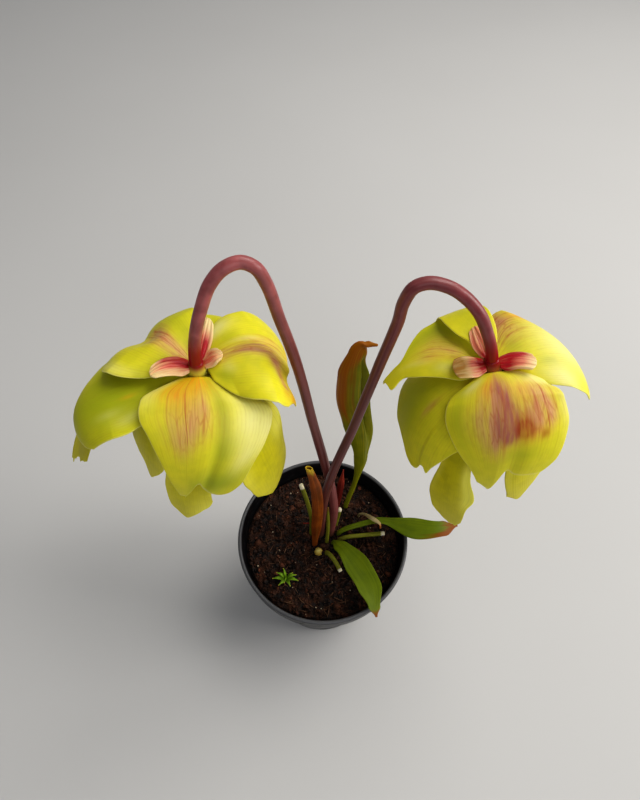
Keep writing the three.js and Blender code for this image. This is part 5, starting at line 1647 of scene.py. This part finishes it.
def fibre_shell(count, seed, reach, limit):
    """Bent threads that lie on the soil, each along a short route of three points."""
    rng = np.random.default_rng(seed)
    shells = []
    for _ in range(count):
        r, a, b = reach * np.sqrt(rng.uniform()), rng.uniform(0, 2 * np.pi), rng.uniform(0, np.pi)
        x = r * np.cos(a) + np.array([-1, 0.1, 1]) * rng.uniform(1.2, 3.4) * np.cos(b)
        y = r * np.sin(a) + np.array([-1, -0.2, 1]) * rng.uniform(1.2, 3.4) * np.sin(b)
        inside = np.minimum(1, limit / np.maximum(np.hypot(x, y), 1))
        x, y = x * inside, y * inside
        z = soil_height(x, y) + np.array([0.1, 0.5, 0.2])
        thick = sizes((0, 0.12), (0.5, rng.uniform(0.14, 0.3)), (1, 0.08))
        shells.append(tube_along(route_through(np.stack([x, y, z], -1), 8), thick, thick, [0, 0, 1], 10, 6))
    return joined(shells)


def fibre_material():
    """Red-brown root and bark fibre, paler in places."""
    material, tree, shader = new_material("fibre")
    grain = field(tree, "grain", "Vector")
    tone = noise(tree, grain, 3.0, 3.0)
    colour = mixed(tree, remapped(tree, tone, 0.35, 0.65), rgb(0.06, 0.022, 0.010), rgb(0.20, 0.10, 0.045))
    set_shader(tree, shader, Base_Color=colour, Normal=bumped(tree, tone, 0.5, 0.0002), Roughness=0.75)
    return material


# Chalky white grains with soil in their pores.
GRIT_PORES, CHALK = rgb(0.18, 0.11, 0.06), rgb(0.62, 0.52, 0.38)
grit_skin = powdery_material("grit", (1500.0, 4.0), 0.35, 0.6, GRIT_PORES, CHALK, 0.7, 0.85)
make_piece("peat_crumbs", joined([scattered(**CRUMBS), scattered(**CLODS)]), peat, "peat")
make_piece("peat_fibres", fibre_shell(**FIBRES), fibre_material(), "peat")
make_piece("grit_grains", scattered(**GRIT), grit_skin, "peat")

# %% [markdown]
# ## Camera
# The photograph was taken from above and in front, close enough for strong perspective. The camera's place
# and tilt were worked out from the ellipse of the pot's rim and the upright stems, so that what the picture
# shows falls on the same pixels here. A rotation matrix holds its right, up and backward directions.

# %% Place the camera
def turned_to(thing, sideways, upward, backward, at):
    """Turns a thing so that its own axes point in three directions, and sets it at a place."""
    pose = np.eye(4)
    pose[:3, :3] = np.stack([sideways, upward, backward], 1)
    pose[:3, 3] = at
    thing.matrix_world = Matrix(pose.tolist())


PITCH, ROLL = np.radians(56.07), np.radians(0.91)
CAMERA_AT = np.array([-2.6, -106.5, 367]) * MM
FOCAL_PIXELS, PICTURE_HEIGHT, SENSOR = 560, 800, 36.0
right = np.array([np.cos(ROLL), np.sin(ROLL) * np.sin(PITCH), np.sin(ROLL) * np.cos(PITCH)])
upward = np.array([-np.sin(ROLL), np.cos(ROLL) * np.sin(PITCH), np.cos(ROLL) * np.cos(PITCH)])
backward = np.array([0, -np.cos(PITCH), np.sin(PITCH)])
lens = bpy.data.cameras.new("camera")
lens.sensor_width = SENSOR
lens.lens = FOCAL_PIXELS / PICTURE_HEIGHT * SENSOR
lens.clip_start, lens.clip_end = 0.005, 50
camera = add_object("camera", lens)
turned_to(camera, right, upward, backward, CAMERA_AT)
bpy.context.scene.camera = camera
print("lens", round(lens.lens, 2), "mm")

# %% [markdown]
# ## Light and floor
# A plain pale floor and soft light let the colours speak. A large lamp overhead, a little behind, gives the
# bright rims that the photograph has. One at the right side models the folds, and a weak one in front opens
# the shadows.

# %% Light the scene
def area_light(name, at, towards, size, power, colour):
    """A square lamp of a given size in metres, turned to face a point."""
    lamp = bpy.data.lights.new(name, "AREA")
    lamp.size, lamp.energy, lamp.color = size, power, colour
    back = unit(np.array(at, float) - np.array(towards, float))
    side = unit(np.cross([0.01, 1, 0.02], back))
    turned_to(add_object(name, lamp), side, np.cross(back, side), back, at)


TARGET = (0, 0.0, 0.17)
area_light("sky_panel", (0.55, 0.35, 1.15), TARGET, 0.9, 10.5, (1.0, 0.98, 0.94))
area_light("side_panel", (1.9, -0.1, 0.8), TARGET, 0.85, 17, (1.0, 0.98, 0.95))
area_light("front_fill", (0.1, -1.1, 0.9), TARGET, 1.0, 3.2, (0.96, 0.97, 1.0))
world = bpy.data.worlds.new("studio")
world.use_nodes = True
background = world.node_tree.nodes["Background"].inputs
background["Color"].default_value = rgb(0.92, 0.95, 1.0)
background["Strength"].default_value = 0.2
bpy.context.scene.world = world
bpy.context.scene.view_settings.view_transform = "Standard"
bpy.context.scene.view_settings.look = "Medium High Contrast"

# %% Lay the floor
def floor_material():
    """Warm off-white, barely mottled."""
    material, tree, shader = new_material("floor")
    tone = noise(tree, on_piece(tree), 3.0, 3.0)
    colour = mixed(tree, tone, rgb(0.55, 0.54, 0.525), rgb(0.60, 0.59, 0.575))
    set_shader(tree, shader, Base_Color=colour, Roughness=0.8)
    return material


FLOOR_HALF = 4.0
corners = FLOOR_HALF * np.array([[-1, -1, 0], [1, -1, 0], [1, 1, 0], [-1, 1, 0]])
floor_mesh = bpy.data.meshes.new("floor")
floor_mesh.from_pydata(corners.tolist(), [], [(0, 1, 2, 3)])
floor_mesh.materials.append(floor_material())
floor = add_object("floor", floor_mesh)
floor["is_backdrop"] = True

# %% [markdown]
# ## Finish
# The last step works out the dressed plant's box, keeps it beside the CAD box and prints it.

# %% Work out and print the sizes
size_boxes = {"cad": cad_box, "visual": [list(corner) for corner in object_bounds()]}
print("visual box:", np.round(size_boxes["visual"], 4).tolist())
